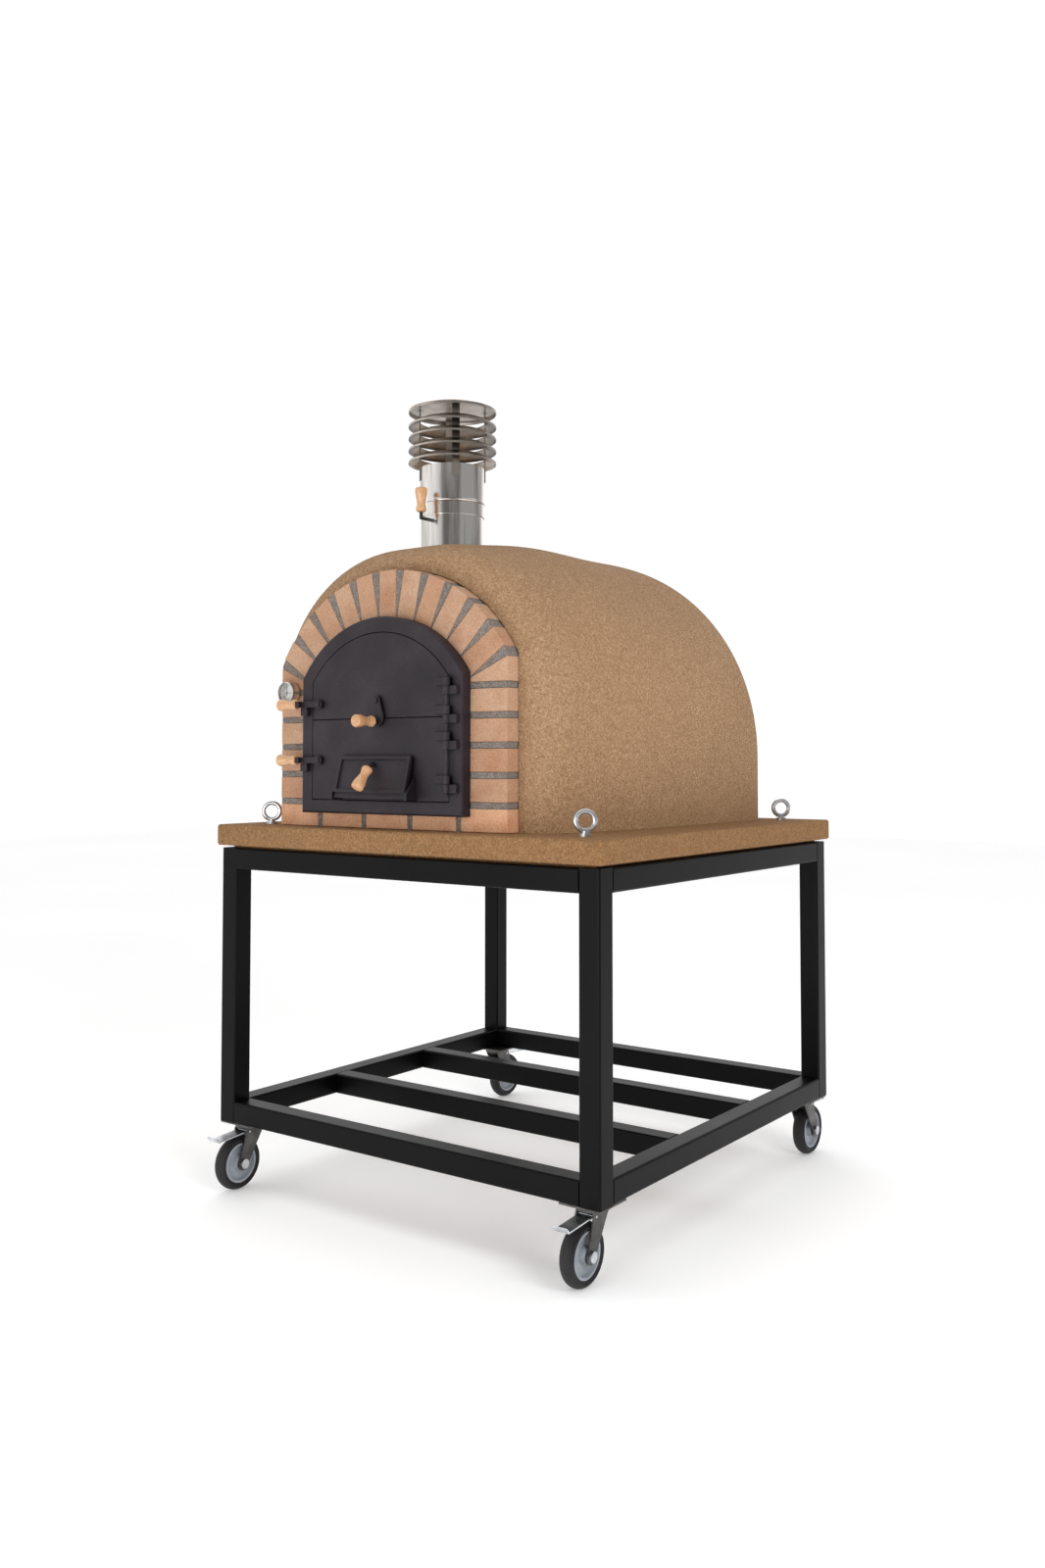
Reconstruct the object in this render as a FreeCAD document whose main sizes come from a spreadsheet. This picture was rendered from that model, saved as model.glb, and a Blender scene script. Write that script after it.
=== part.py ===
"""Wood-fired brick pizza oven on a steel trolley with four braked castors.

Millimetres, +Z up, front towards -Y. The origin is on the floor under the middle of the base slab.
The oven's own axis lies a little to the left of the slab's middle.
"""
import FreeCAD, Part
import Sketcher
import math
import os

from FreeCAD import Placement, Rotation, Vector

SIZES = {
    # trolley frame, square steel tube
    "frame_width": 1080,
    "frame_depth": 1080,
    "frame_height": 650,
    "tube_size": 50,
    "tube_wall": 3,
    "tube_corner": 5,
    # castors
    "castor_height": 155,
    "castor_inset": 50,
    "castor_trail": 38,
    "castor_plate": 96,
    "castor_plate_thick": 4,
    "race_radius": 29,
    "race_thick": 4,
    "swivel_gap": 0.3,
    "kingpin_radius": 9,
    "kingpin_head_radius": 14,
    "kingpin_head_thick": 4,
    "crown_radius": 34,
    "crown_thick": 6,
    "cheek_thick": 3.5,
    "cheek_top_width": 52,
    "cheek_foot_radius": 16,
    "wheel_radius": 62.5,
    "wheel_width": 32,
    "wheel_side_gap": 3,
    "core_radius": 46,
    "core_web": 10,
    "hub_radius": 15,
    "axle_radius": 6,
    "axle_head_radius": 11,
    "axle_head_thick": 6,
    "pedal_width": 34,
    "pedal_reach": 88,
    "pedal_fall": 7,
    "pedal_thick": 3,
    "pedal_lip": 9,
    "pedal_pivot_setback": 20,
    "pedal_pivot_drop": 8,
    "pedal_barrel_radius": 4,
    "pedal_pin_radius": 2.5,
    # base slab
    "slab_width": 1100,
    "slab_depth": 1100,
    "slab_thick": 50,
    "slab_seat": 6,
    "slab_seat_inset": 30,
    "slab_edge": 7,
    # lifting eyes
    "eye_inset_x": 95,
    "eye_inset_y": 90,
    "rear_left_eye_inset_x": 35,
    "rear_left_eye_inset_y": 45,
    "eye_ring_radius": 19.5,
    "eye_wire_radius": 5.5,
    "eye_bore_radius": 14.6,
    "eye_foot_radius": 13,
    "eye_foot_thick": 6,
    # dome and its layers
    "oven_axis_x": -65,
    "facade_setback": 70,
    "facade_proud": 40,
    "dome_half_width": 468,
    "dome_height": 679,
    "dome_front_half_width": 356,
    "dome_front_height": 604,
    "dome_rear_half_width": 350,
    "dome_rear_height": 360,
    "dome_crown_setback": 660,
    "dome_rear_margin": 60,
    "render_thick": 16,
    "blanket_thick": 50,
    "vault_thick": 50,
    "layer_gap": 0.5,
    "hearth_thick": 52,
    "hearth_joint": 2,
    # brick facade
    "facade_half_width": 338,
    "brick_height": 51,
    "brick_joint": 13,
    "jamb_width": 108,
    "arch_centre_height": 200,
    "arch_inner_radius": 267,
    "voussoir_length": 116,
    "mortar_recess": 2,
    "mortar_inner_recess": 3,
    # cast-iron door frame
    "door_frame_half_width": 240,
    "door_frame_bottom": 33,
    "door_frame_radius": 284,
    "door_arch_centre": 191,
    "door_frame_thick": 28,
    "door_frame_bevel": 4,
    "door_border": 34.5,
    "door_sill": 63,
    "door_stop": 13,
    "sleeve_wall": 12,
    "sleeve_depth": 60,
    # doors
    "door_thick": 10,
    "door_back_gap": 2,
    "door_edge_gap": 2,
    "door_split": 247,
    # hinge
    "pin_radius": 3.5,
    "pin_offset": 10,
    "pin_fit": 0.06,
    "knuckle_radius": 8,
    "knuckle_height": 18,
    "knuckle_gap": 1,
    "hinge_arm": 24,
    "hinge_tail": 36,
    "hinge_tail_thick": 6,
    "upper_hinge_high": 313,
    "upper_hinge_low": 252,
    "lower_hinge_high": 195.5,
    "lower_hinge_low": 102.5,
    "pin_overrun": 6,
    # latches
    "upper_latch_height": 283,
    "lower_latch_height": 154,
    "latch_pivot_inset": 26,
    "latch_reach": 52,
    "latch_height": 14,
    "latch_thick": 6,
    "latch_standoff": 5,
    "latch_stub": 12,
    "latch_stub_radius": 7,
    "latch_knob_forward": 14,
    "pivot_radius": 4,
    "pivot_head_radius": 6.5,
    "pivot_head_thick": 3,
    "pivot_fit": 0.06,
    "pivot_side_gap": 0.2,
    "keeper_width": 20,
    "keeper_rise": 7,
    "keeper_drop": 26,
    "keeper_proud": 3,
    "keeper_gap": 0.5,
    # wooden knobs
    "knob_length": 57,
    "knob_head_radius": 14.2,
    "knob_waist_radius": 11.3,
    "knob_waist_length": 14,
    "knob_base_radius": 8,
    "knob_base_curve": 20,
    "knob_waist_curve": 20,
    # peephole and its cover
    "peephole_height": 259,
    "peephole_radius": 9,
    "cover_pivot_height": 287,
    "cover_top_radius": 11,
    "cover_disc_height": 250,
    "cover_disc_radius": 21.5,
    "cover_thick": 5,
    "cover_standoff": 4,
    "cover_knob_height": 240,
    "cover_stub": 8,
    "cover_stub_radius": 6,
    # draught flap
    "flap_width": 212,
    "flap_pivot_height": 73,
    "flap_length": 92,
    "flap_thick": 6,
    "flap_barrel_radius": 3.5,
    "flap_gap": 1.2,
    "flap_rim_width": 8,
    "flap_rim_height": 4,
    "flap_pin_radius": 2.5,
    "flap_pin_fit": 0.06,
    "flap_side_gap": 1,
    "flap_ear_thick": 7,
    "flap_ear_lip": 7,
    "flap_ear_height": 48,
    "flap_window_width": 168,
    "flap_window_bottom": 98,
    "flap_window_height": 44,
    "flap_stub_rise": 74,
    "flap_stub": 16,
    "flap_stub_radius": 5,
    # dial thermometer
    "dial_across": 300,
    "dial_case_radius": 26,
    "dial_case_depth": 24,
    "dial_wall": 2.5,
    "dial_back_thick": 4,
    "dial_face_thick": 1,
    "dial_lens_thick": 2,
    "dial_lens_recess": 1.5,
    "dial_fit": 0.2,
    "dial_stem_radius": 5,
    "dial_stem_length": 40,
    "dial_stem_fit": 0.3,
    "needle_length": 18,
    "needle_tail": 7,
    "needle_width": 1.6,
    "needle_thick": 1,
    "needle_hub_radius": 2.5,
    "needle_post_radius": 1,
    "needle_post_fit": 0.06,
    # flue, damper and cowl
    "flue_setback": 191,
    "flue_radius": 75,
    "flue_wall": 2,
    "flue_fit": 0.4,
    "flue_top": 1629,
    "flue_drop": 30,
    "sleeve_overlap": 34,
    "sleeve_fit": 0.3,
    "sleeve_top": 1715,
    "sleeve_bead_radius": 4,
    "damper_height": 1580,
    "damper_edge_gap": 2.5,
    "damper_thick": 3,
    "spindle_radius": 4,
    "spindle_fit": 0.06,
    "spindle_front": 40,
    "spindle_back": 6,
    "spindle_rise": 14,
    "cowl_radius": 106,
    "cowl_ring_pitch": 29.3,
    "cowl_first_ring": 1742,
    "cowl_sheet": 2,
    "cowl_ring_drop": 16,
    "cowl_roll_radius": 4,
    "cowl_strap_width": 18,
    "cowl_strap_thick": 2,
    "cowl_strap_lap": 30,
    "cowl_cap_height": 1869,
    "cowl_cap_rise": 12,
}

VOUSSOIRS = 11
ARCH_SPRING_DEGREES = 29.0
JAMB_BRICKS = 4
SILL_BRICKS = 5
COWL_RINGS = 4
COWL_STRAPS = 4
SHELF_BARS = 2
HEARTH_COLUMNS = 3
HEARTH_ROWS = 4
FLAP_KNOB_DEGREES = 50.0
FLAP_LEAN_DEGREES = 15.0
CASTOR_CORNERS = {
    "front_left": (-1, -1),
    "front_right": (1, -1),
    "rear_left": (-1, 1),
    "rear_right": (1, 1),
}

# dome stations, as shares of the run from the front to the crown and from the crown to the rear
FRONT_STATIONS = (0.0, 0.04, 0.14, 0.35, 0.65)
REAR_STATIONS = (0.0, 0.3, 0.55, 0.75, 0.9, 0.97, 1.0)
FRONT_ROUNDNESS = 2.6
REAR_PLAN_ROUNDNESS = 6.0
REAR_RISE_ROUNDNESS = 3.0
ARCH_SHARE = 0.88

doc = FreeCAD.newDocument("PizzaOven")
sheet = doc.addObject("Spreadsheet::Sheet", "Sizes")
for row, (alias, number) in enumerate(SIZES.items(), start=1):
    sheet.set("A%d" % row, alias)
    sheet.set("B%d" % row, str(number))
    sheet.setAlias("B%d" % row, alias)
doc.recompute()

NODES = []


class Size:
    """A measure: its formula over the sheet, and the value that the formula has now."""

    def __init__(self, formula, value):
        self.formula = formula
        self.value = value

    def __add__(self, other):
        other = measure(other)
        return Size("(%s + %s)" % (self.formula, other.formula), self.value + other.value)

    def __sub__(self, other):
        other = measure(other)
        return Size("(%s - %s)" % (self.formula, other.formula), self.value - other.value)

    def __mul__(self, other):
        other = measure(other)
        return Size("(%s * %s)" % (self.formula, other.formula), self.value * other.value)

    def __truediv__(self, other):
        other = measure(other)
        return Size("(%s / %s)" % (self.formula, other.formula), self.value / other.value)

    def __radd__(self, other):
        return measure(other) + self

    def __rsub__(self, other):
        return measure(other) - self

    def __rmul__(self, other):
        return measure(other) * self

    def __neg__(self):
        return measure(0) - self


def measure(number):
    """Any plain number or Size as a Size."""
    if isinstance(number, Size):
        return number
    return Size("(%.9f)" % number, float(number))


def root(size):
    """Square root of a Size."""
    return Size("sqrt(%s)" % size.formula, math.sqrt(size.value))


class Driving:
    """The sheet's cells as Sizes, by alias."""

    def __getattr__(self, alias):
        return Size("Sizes." + alias, float(sheet.get(alias)))


S = Driving()


def bind(thing, name, amount):
    thing.setExpression(name, measure(amount).formula)


def place(thing, x, y, z, turn=None):
    """Put a thing's own origin at (x, y, z), turned by a fixed rotation."""
    thing.Placement = Placement(Vector(), turn or Rotation())
    for axis, amount in zip("xyz", (x, y, z)):
        bind(thing, "Placement.Base." + axis, amount)
    return thing


def box(x, y, z, along_x, along_y, along_z, turn=None):
    """A block from its lowest corner."""
    block = doc.addObject("Part::Box", "Block")
    bind(block, "Length", along_x)
    bind(block, "Width", along_y)
    bind(block, "Height", along_z)
    return place(block, x, y, z, turn)


AXES = {"x": Vector(1, 0, 0), "y": Vector(0, 1, 0), "z": Vector(0, 0, 1), "-y": Vector(0, -1, 0)}


def rod(x, y, z, radius, length, axis="z"):
    """A round bar that starts at a point and runs along an axis."""
    bar = doc.addObject("Part::Cylinder", "Rod")
    bind(bar, "Radius", radius)
    bind(bar, "Height", length)
    direction = AXES[axis] if isinstance(axis, str) else axis
    return place(bar, x, y, z, Rotation(Vector(0, 0, 1), direction))


def ball(x, y, z, radius):
    sphere = doc.addObject("Part::Sphere", "Ball")
    bind(sphere, "Radius", radius)
    return place(sphere, x, y, z)


def fuse(*things):
    joined = doc.addObject("Part::MultiFuse", "Joined")
    joined.Shapes = list(things)
    return joined


def cut(base, *tools):
    """One thing less the others."""
    result = doc.addObject("Part::Cut", "Cut")
    result.Base = base
    result.Tool = tools[0] if len(tools) == 1 else fuse(*tools)
    return result


def group(*things):
    """Separate solids that share a node."""
    compound = doc.addObject("Part::Compound", "Group")
    compound.Links = list(things)
    return compound


def node(name, thing):
    """Give a finished sub-part the name of its file."""
    thing.Label = name
    NODES.append(thing)
    return thing


FRONTWARDS = Rotation(Vector(1, 0, 0), 90)
SIDEWAYS = Rotation(Vector(1, 1, 1), 120)


def edge_curve(start, end, radius):
    """A straight edge, or an arc: a positive radius turns left, a negative one turns right."""
    first = Vector(start[0].value, start[1].value, 0)
    last = Vector(end[0].value, end[1].value, 0)
    if radius is None:
        return Part.LineSegment(first, last)
    chord = last - first
    middle = (first + last) / 2
    reach = math.sqrt(radius.value ** 2 - (chord.Length / 2) ** 2)
    left = Vector(-chord.y, chord.x, 0).normalize()
    turns_left = radius.value > 0
    centre = middle + left * (reach if turns_left else -reach)
    circle = Part.Circle(centre, Vector(0, 0, 1), abs(radius.value))
    if not turns_left:
        first, last = last, first
    from_angle = math.atan2(first.y - centre.y, first.x - centre.x)
    to_angle = math.atan2(last.y - centre.y, last.x - centre.x)
    if to_angle < from_angle:
        to_angle += 2 * math.pi
    return Part.ArcOfCircle(circle, from_angle, to_angle)


def hold(sketch, kind, *where):
    """Add a constraint whose last entry is a Size, and bind it."""
    amount = where[-1]
    index = sketch.addConstraint(Sketcher.Constraint(kind, *where[:-1], amount.value))
    sketch.setExpression("Constraints[%d]" % index, amount.formula)


def draw(sketch, outline):
    """Draw a closed outline of (x, y) points; a third entry bends the edge that leaves the point."""
    corners = [(measure(point[0]), measure(point[1])) for point in outline]
    bends = [measure(point[2]) if len(point) > 2 else None for point in outline]
    count = len(corners)
    edges = []
    for index in range(count):
        curve = edge_curve(corners[index], corners[(index + 1) % count], bends[index])
        edges.append(sketch.addGeometry(curve, False))
    starts = [2 if bend is not None and bend.value < 0 else 1 for bend in bends]
    for index in range(count):
        following = (index + 1) % count
        sketch.addConstraint(Sketcher.Constraint(
            "Coincident", edges[index], 3 - starts[index], edges[following], starts[following]))
    for index, (across, up) in enumerate(corners):
        corner = (edges[index], starts[index])
        for amount, kind, axis in ((across, "DistanceX", -2), (up, "DistanceY", -1)):
            if abs(amount.value) < 1e-9:
                sketch.addConstraint(Sketcher.Constraint("PointOnObject", *corner, axis))
            else:
                hold(sketch, kind, -1, 1, *corner, amount)
        bend = bends[index]
        if bend is not None:
            hold(sketch, "Radius", edges[index], bend if bend.value > 0 else -bend)


def sketch_in(body, plane_role, outlines):
    plane = next(item for item in body.Origin.OriginFeatures if item.Role == plane_role)
    sketch = body.newObject("Sketcher::SketchObject", "Outline")
    sketch.AttachmentSupport = (plane, [""])
    sketch.MapMode = "FlatFace"
    for outline in outlines:
        draw(sketch, outline)
    return sketch


def padded(outlines, length):
    """A body padded along its own Z from outlines on its XY plane."""
    body = doc.addObject("PartDesign::Body", "Plate")
    pad = body.newObject("PartDesign::Pad", "Pad")
    pad.Profile = sketch_in(body, "XY_Plane", outlines)
    bind(pad, "Length", length)
    body.Tip = pad
    return body


def turned(outline):
    """A body turned about its own Z from an outline of (radius, height) points."""
    body = doc.addObject("PartDesign::Body", "Turned")
    sketch = sketch_in(body, "XZ_Plane", [outline])
    turning = body.newObject("PartDesign::Revolution", "Turning")
    turning.Profile = sketch
    turning.ReferenceAxis = (sketch, ["V_Axis"])
    turning.Angle = 360
    body.Tip = turning
    return body


def bevelled(body, beyond, amount):
    """Break the far edges of a padded plate, those that reach beyond a distance from its own middle."""
    doc.recompute()
    pad = body.Tip
    far = pad.Shape.BoundBox.ZMax
    rims = []
    for index, edge in enumerate(pad.Shape.Edges):
        reach = max(abs(corner.X) for corner in edge.Vertexes)
        if edge.BoundBox.ZMin > far - 1e-6 and reach > beyond.value:
            rims.append("Edge%d" % (index + 1))
    bevel = body.newObject("PartDesign::Chamfer", "Bevel")
    bevel.Base = (pad, rims)
    bind(bevel, "Size", amount)
    body.Tip = bevel
    return body


def rounded_rectangle(half_x, half_y, corner):
    return [
        (half_x, corner - half_y), (half_x, half_y - corner, corner),
        (half_x - corner, half_y), (corner - half_x, half_y, corner),
        (-half_x, half_y - corner), (-half_x, corner - half_y, corner),
        (corner - half_x, -half_y), (half_x - corner, -half_y, corner),
    ]


def rectangle(left, right, bottom, top):
    return [(left, bottom), (right, bottom), (right, top), (left, top)]


def arched(half_width, bottom, centre, radius):
    """Straight sides under a round head, about the outline's own vertical axis."""
    spring = centre + root(radius * radius - half_width * half_width)
    return [(half_width, bottom), (half_width, spring, radius), (0, centre + radius, radius),
            (-half_width, spring), (-half_width, bottom)]


# levels and places that several pieces share
frame_bottom = S.castor_height
frame_top = frame_bottom + S.frame_height
slab_bottom = frame_top + S.slab_seat
slab_top = slab_bottom + S.slab_thick
axis_x = S.oven_axis_x
face_y = S.facade_setback - S.slab_depth / 2
dome_front_y = face_y + S.facade_proud
dome_rear_y = S.slab_depth / 2 - S.dome_rear_margin
dome_crown_y = dome_front_y + S.dome_crown_setback
blanket_inset = S.render_thick + S.layer_gap
vault_inset = blanket_inset + S.blanket_thick + S.layer_gap
cavity_inset = vault_inset + S.vault_thick
vault_front_y = dome_front_y + vault_inset
facade_depth = vault_front_y - face_y
door_front_y = face_y - S.door_frame_thick
door_stop_y = door_front_y + S.door_thick + S.door_back_gap
opening_half = S.door_frame_half_width - S.door_border
pin_x = axis_x + opening_half
pin_y = door_front_y - S.pin_offset
flue_y = dome_front_y + S.flue_setback


def above_slab(height):
    return slab_top + height


# trolley

def square_tube(length):
    half = S.tube_size / 2
    bore = half - S.tube_wall
    return padded([rounded_rectangle(half, half, S.tube_corner), rectangle(-bore, bore, -bore, bore)], length)


def build_trolley():
    half_tube = S.tube_size / 2
    side_x = S.frame_width / 2 - half_tube
    end_y = S.frame_depth / 2 - half_tube
    rail_x = S.frame_width - S.tube_size * 2
    rail_y = S.frame_depth - S.tube_size * 2
    along_x = Rotation(Vector(0, 1, 0), 90)
    along_y = Rotation(Vector(1, 0, 0), -90)
    legs = [place(square_tube(S.frame_height), side_x * across, end_y * back, frame_bottom)
            for across, back in CASTOR_CORNERS.values()]
    node("frame_legs", group(*legs))
    for name, height in (("top_rails", frame_top - half_tube), ("bottom_rails", frame_bottom + half_tube)):
        rails = [place(square_tube(rail_x), -rail_x / 2, end_y * back, height, along_x) for back in (-1, 1)]
        rails += [place(square_tube(rail_y), side_x * across, -rail_y / 2, height, along_y)
                  for across in (-1, 1)]
        node(name, group(*rails))
    spacing = (rail_y + S.tube_size) / (SHELF_BARS + 1)
    bars = [place(square_tube(rail_x), -rail_x / 2, spacing * (index + 1) - (rail_y + S.tube_size) / 2,
                  frame_bottom + half_tube, along_x) for index in range(SHELF_BARS)]
    node("shelf_bars", group(*bars))


# castors

def build_castor_plates():
    plates = []
    for across, back in CASTOR_CORNERS.values():
        x = (S.frame_width / 2 - S.castor_inset) * across
        y = (S.frame_depth / 2 - S.castor_inset) * back
        half = S.castor_plate / 2
        plate = box(x - half, y - half, frame_bottom - S.castor_plate_thick,
                    S.castor_plate, S.castor_plate, S.castor_plate_thick)
        plate_bottom = frame_bottom - S.castor_plate_thick
        race = rod(x, y, plate_bottom - S.race_thick, S.race_radius, S.race_thick)
        pin_foot = plate_bottom - S.race_thick - S.crown_thick - S.swivel_gap * 2
        pin = rod(x, y, pin_foot, S.kingpin_radius, plate_bottom - pin_foot)
        head = rod(x, y, pin_foot - S.kingpin_head_thick, S.kingpin_head_radius, S.kingpin_head_thick)
        plates.append(fuse(plate, race, pin, head))
    node("castor_top_plates", group(*plates))


def castor_cheek(x, y, back, crown_bottom):
    """One pressed side of a fork: it narrows from the crown down to the axle."""
    half_top = S.cheek_top_width / 2
    foot = S.cheek_foot_radius
    trail = S.castor_trail * back
    outline = [
        (-half_top, crown_bottom), (trail - foot, S.wheel_radius, foot), (trail, S.wheel_radius - foot, foot),
        (trail + foot, S.wheel_radius), (half_top, crown_bottom),
    ]
    return place(padded([outline], S.cheek_thick), x, y, 0, SIDEWAYS)


def build_castor(name, across, back):
    x = (S.frame_width / 2 - S.castor_inset) * across
    y = (S.frame_depth / 2 - S.castor_inset) * back
    wheel_y = y + S.castor_trail * back
    half_wheel = S.wheel_width / 2
    inner = half_wheel + S.wheel_side_gap
    outer = inner + S.cheek_thick
    crown_bottom = frame_bottom - S.castor_plate_thick - S.race_thick - S.swivel_gap - S.crown_thick
    crown = rod(x, y, crown_bottom, S.crown_radius, S.crown_thick)
    cheeks = [castor_cheek(start, y, back, crown_bottom) for start in (x - outer, x + inner)]
    pedal_y = y + S.pedal_pivot_setback * back
    pedal_z = crown_bottom - S.pedal_pivot_drop
    bearing = rod(x, y, crown_bottom, S.kingpin_radius + S.pin_fit, S.crown_thick)
    axle_hole = rod(x - outer, wheel_y, S.wheel_radius, S.axle_radius + S.pin_fit, outer * 2, "x")
    pedal_hole = rod(x - outer, pedal_y, pedal_z, S.pedal_pin_radius + S.pin_fit, outer * 2, "x")
    fork = cut(fuse(crown, *cheeks), bearing, axle_hole, pedal_hole)
    node("%s_fork" % name, fork)
    shank = rod(x - outer, wheel_y, S.wheel_radius, S.axle_radius, outer * 2, "x")
    heads = [rod(start, wheel_y, S.wheel_radius, S.axle_head_radius, S.axle_head_thick, "x")
             for start in (x - outer - S.axle_head_thick, x + outer)]
    node("%s_axle" % name, fuse(shank, *heads))
    build_wheel(name, x, wheel_y)
    build_pedal(name, x, pedal_y, pedal_z, back)


def build_wheel(name, x, y):
    half = S.wheel_width / 2
    rim = S.core_radius - S.layer_gap
    shoulder = half / 2
    tread = (shoulder * shoulder + half * half) / (shoulder * 2)
    crown = S.wheel_radius - shoulder
    web = S.core_web / 2
    bore = S.axle_radius + S.pin_fit
    across = Rotation(Vector(0, 0, 1), Vector(1, 0, 0))
    tyre = turned([
        (S.core_radius, -half + 3), (crown, -half, tread), (S.wheel_radius, 0, tread), (crown, half),
        (S.core_radius, half - 3),
    ])
    node("%s_tyre" % name, place(tyre, x, y, S.wheel_radius, across))
    core = turned([
        (bore, -half), (S.hub_radius, -half), (S.hub_radius + 3, -web), (rim - 7, -web), (rim - 5, 3 - half),
        (rim, 3 - half), (rim, half - 3), (rim - 5, half - 3), (rim - 7, web), (S.hub_radius + 3, web),
        (S.hub_radius, half), (bore, half),
    ])
    node("%s_wheel_core" % name, place(core, x, y, S.wheel_radius, across))


def build_pedal(name, x, y, z, back):
    """A brake lever that turns on a cross-pin between the fork's cheeks, above the tyre."""
    half = S.pedal_width / 2
    thick = S.pedal_thick / 2
    end = S.pedal_reach
    lip = S.pedal_lip
    profile = [(0, -thick), (end, -thick - S.pedal_fall), (end + lip, lip - thick - S.pedal_fall),
               (end + lip - thick * 2, lip + thick - S.pedal_fall), (end - thick * 2, thick - S.pedal_fall),
               (0, thick)]
    if back < 0:
        profile = [(-along, up) for along, up in reversed(profile)]
    tread = place(padded([profile], S.pedal_width), x - half, y, z, SIDEWAYS)
    barrel = rod(x - half, y, z, S.pedal_barrel_radius, S.pedal_width, "x")
    reach = S.wheel_width / 2 + S.wheel_side_gap + S.cheek_thick
    pin = rod(x - reach, y, z, S.pedal_pin_radius, reach * 2, "x")
    node("%s_brake_pedal" % name, fuse(tread, barrel, pin))


# slab and lifting eyes

def build_slab():
    seat_x = S.slab_width / 2 - S.slab_seat_inset
    seat_y = S.slab_depth / 2 - S.slab_seat_inset
    body = padded([rounded_rectangle(S.slab_width / 2, S.slab_depth / 2, S.slab_edge)], S.slab_thick)
    doc.recompute()
    pad = body.Tip
    rims = ["Edge%d" % (index + 1) for index, edge in enumerate(pad.Shape.Edges)
            if edge.BoundBox.ZLength < 1e-6]
    rounding = body.newObject("PartDesign::Fillet", "Rounding")
    rounding.Base = (pad, rims)
    bind(rounding, "Radius", S.slab_edge - S.layer_gap)
    body.Tip = rounding
    place(body, 0, 0, slab_bottom)
    seat = box(-seat_x, -seat_y, frame_top, seat_x * 2, seat_y * 2, S.slab_seat + S.slab_edge)
    node("base_slab", fuse(body, seat))


def build_eye_bolts():
    half_turn = Rotation(Vector(0, 0, 1), 40).multiply(Rotation(Vector(1, 0, 0), 90))
    bolts = []
    for across, back in CASTOR_CORNERS.values():
        by_dome = across < 0 < back
        inset_x = S.rear_left_eye_inset_x if by_dome else S.eye_inset_x
        inset_y = S.rear_left_eye_inset_y if by_dome else S.eye_inset_y
        x = (S.slab_width / 2 - inset_x) * across
        y = (S.slab_depth / 2 - inset_y) * back
        wire = S.eye_wire_radius
        depth = S.eye_ring_radius - S.eye_bore_radius
        land = root(wire * wire - depth * depth)
        ring = turned([(S.eye_bore_radius, -land, wire), (S.eye_ring_radius + wire, 0, wire),
                       (S.eye_bore_radius, land)])
        place(ring, x, y, slab_top + S.eye_foot_thick + S.eye_ring_radius + wire, half_turn)
        foot = rod(x, y, slab_top, S.eye_foot_radius, S.eye_foot_thick)
        neck = rod(x, y, slab_top, wire + 2, S.eye_foot_thick + wire)
        bolts.append(fuse(ring, foot, neck))
    node("eye_bolts", group(*bolts))


# dome layers

def dome_section(y, half_width, height):
    """One arched cross-section of the dome, standing on the slab."""
    sketch = doc.addObject("Sketcher::SketchObject", "Section")
    haunch = half_width * ARCH_SHARE
    draw(sketch, [
        (half_width, 0), (half_width, height - haunch, haunch), (half_width - haunch, height),
        (haunch - half_width, height, haunch), (-half_width, height - haunch), (-half_width, 0),
    ])
    return place(sketch, axis_x, y, slab_top, FRONTWARDS)


def dome_solid(inset):
    """The dome's outline drawn in by an inset, lofted from front to rear."""
    sections = []
    front_y = dome_front_y + inset
    rear_y = dome_rear_y - inset
    for share in FRONT_STATIONS:
        rise = (1 - (1 - share) ** FRONT_ROUNDNESS) ** (1 / FRONT_ROUNDNESS)
        width = S.dome_front_half_width + (S.dome_half_width - S.dome_front_half_width) * rise
        height = S.dome_front_height + (S.dome_height - S.dome_front_height) * rise
        y = front_y + (dome_crown_y - front_y) * share
        sections.append(dome_section(y, width - inset, height - inset))
    for share in REAR_STATIONS:
        plan = (1 - share ** REAR_PLAN_ROUNDNESS) ** (1 / REAR_PLAN_ROUNDNESS)
        fall = (1 - share ** REAR_RISE_ROUNDNESS) ** (1 / REAR_RISE_ROUNDNESS)
        width = S.dome_rear_half_width + (S.dome_half_width - S.dome_rear_half_width) * plan
        height = S.dome_rear_height + (S.dome_height - S.dome_rear_height) * fall
        y = dome_crown_y + (rear_y - dome_crown_y) * share
        sections.append(dome_section(y, width - inset, height - inset))
    loft = doc.addObject("Part::Loft", "Dome")
    loft.Sections = sections
    loft.Solid = True
    loft.Ruled = False
    return loft


def facade_block(clearance, front_y, back_y):
    """The facade's outline, grown by a clearance, between two depths."""
    half = S.facade_half_width + clearance
    length = S.arch_inner_radius + S.voussoir_length
    corner_radius = root(length * length + S.brick_height * S.brick_height / 4)
    outline = arched(half, 0, S.arch_centre_height, corner_radius + clearance)
    body = padded([outline], back_y - front_y)
    return place(body, axis_x, back_y, slab_top, FRONTWARDS)


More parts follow.
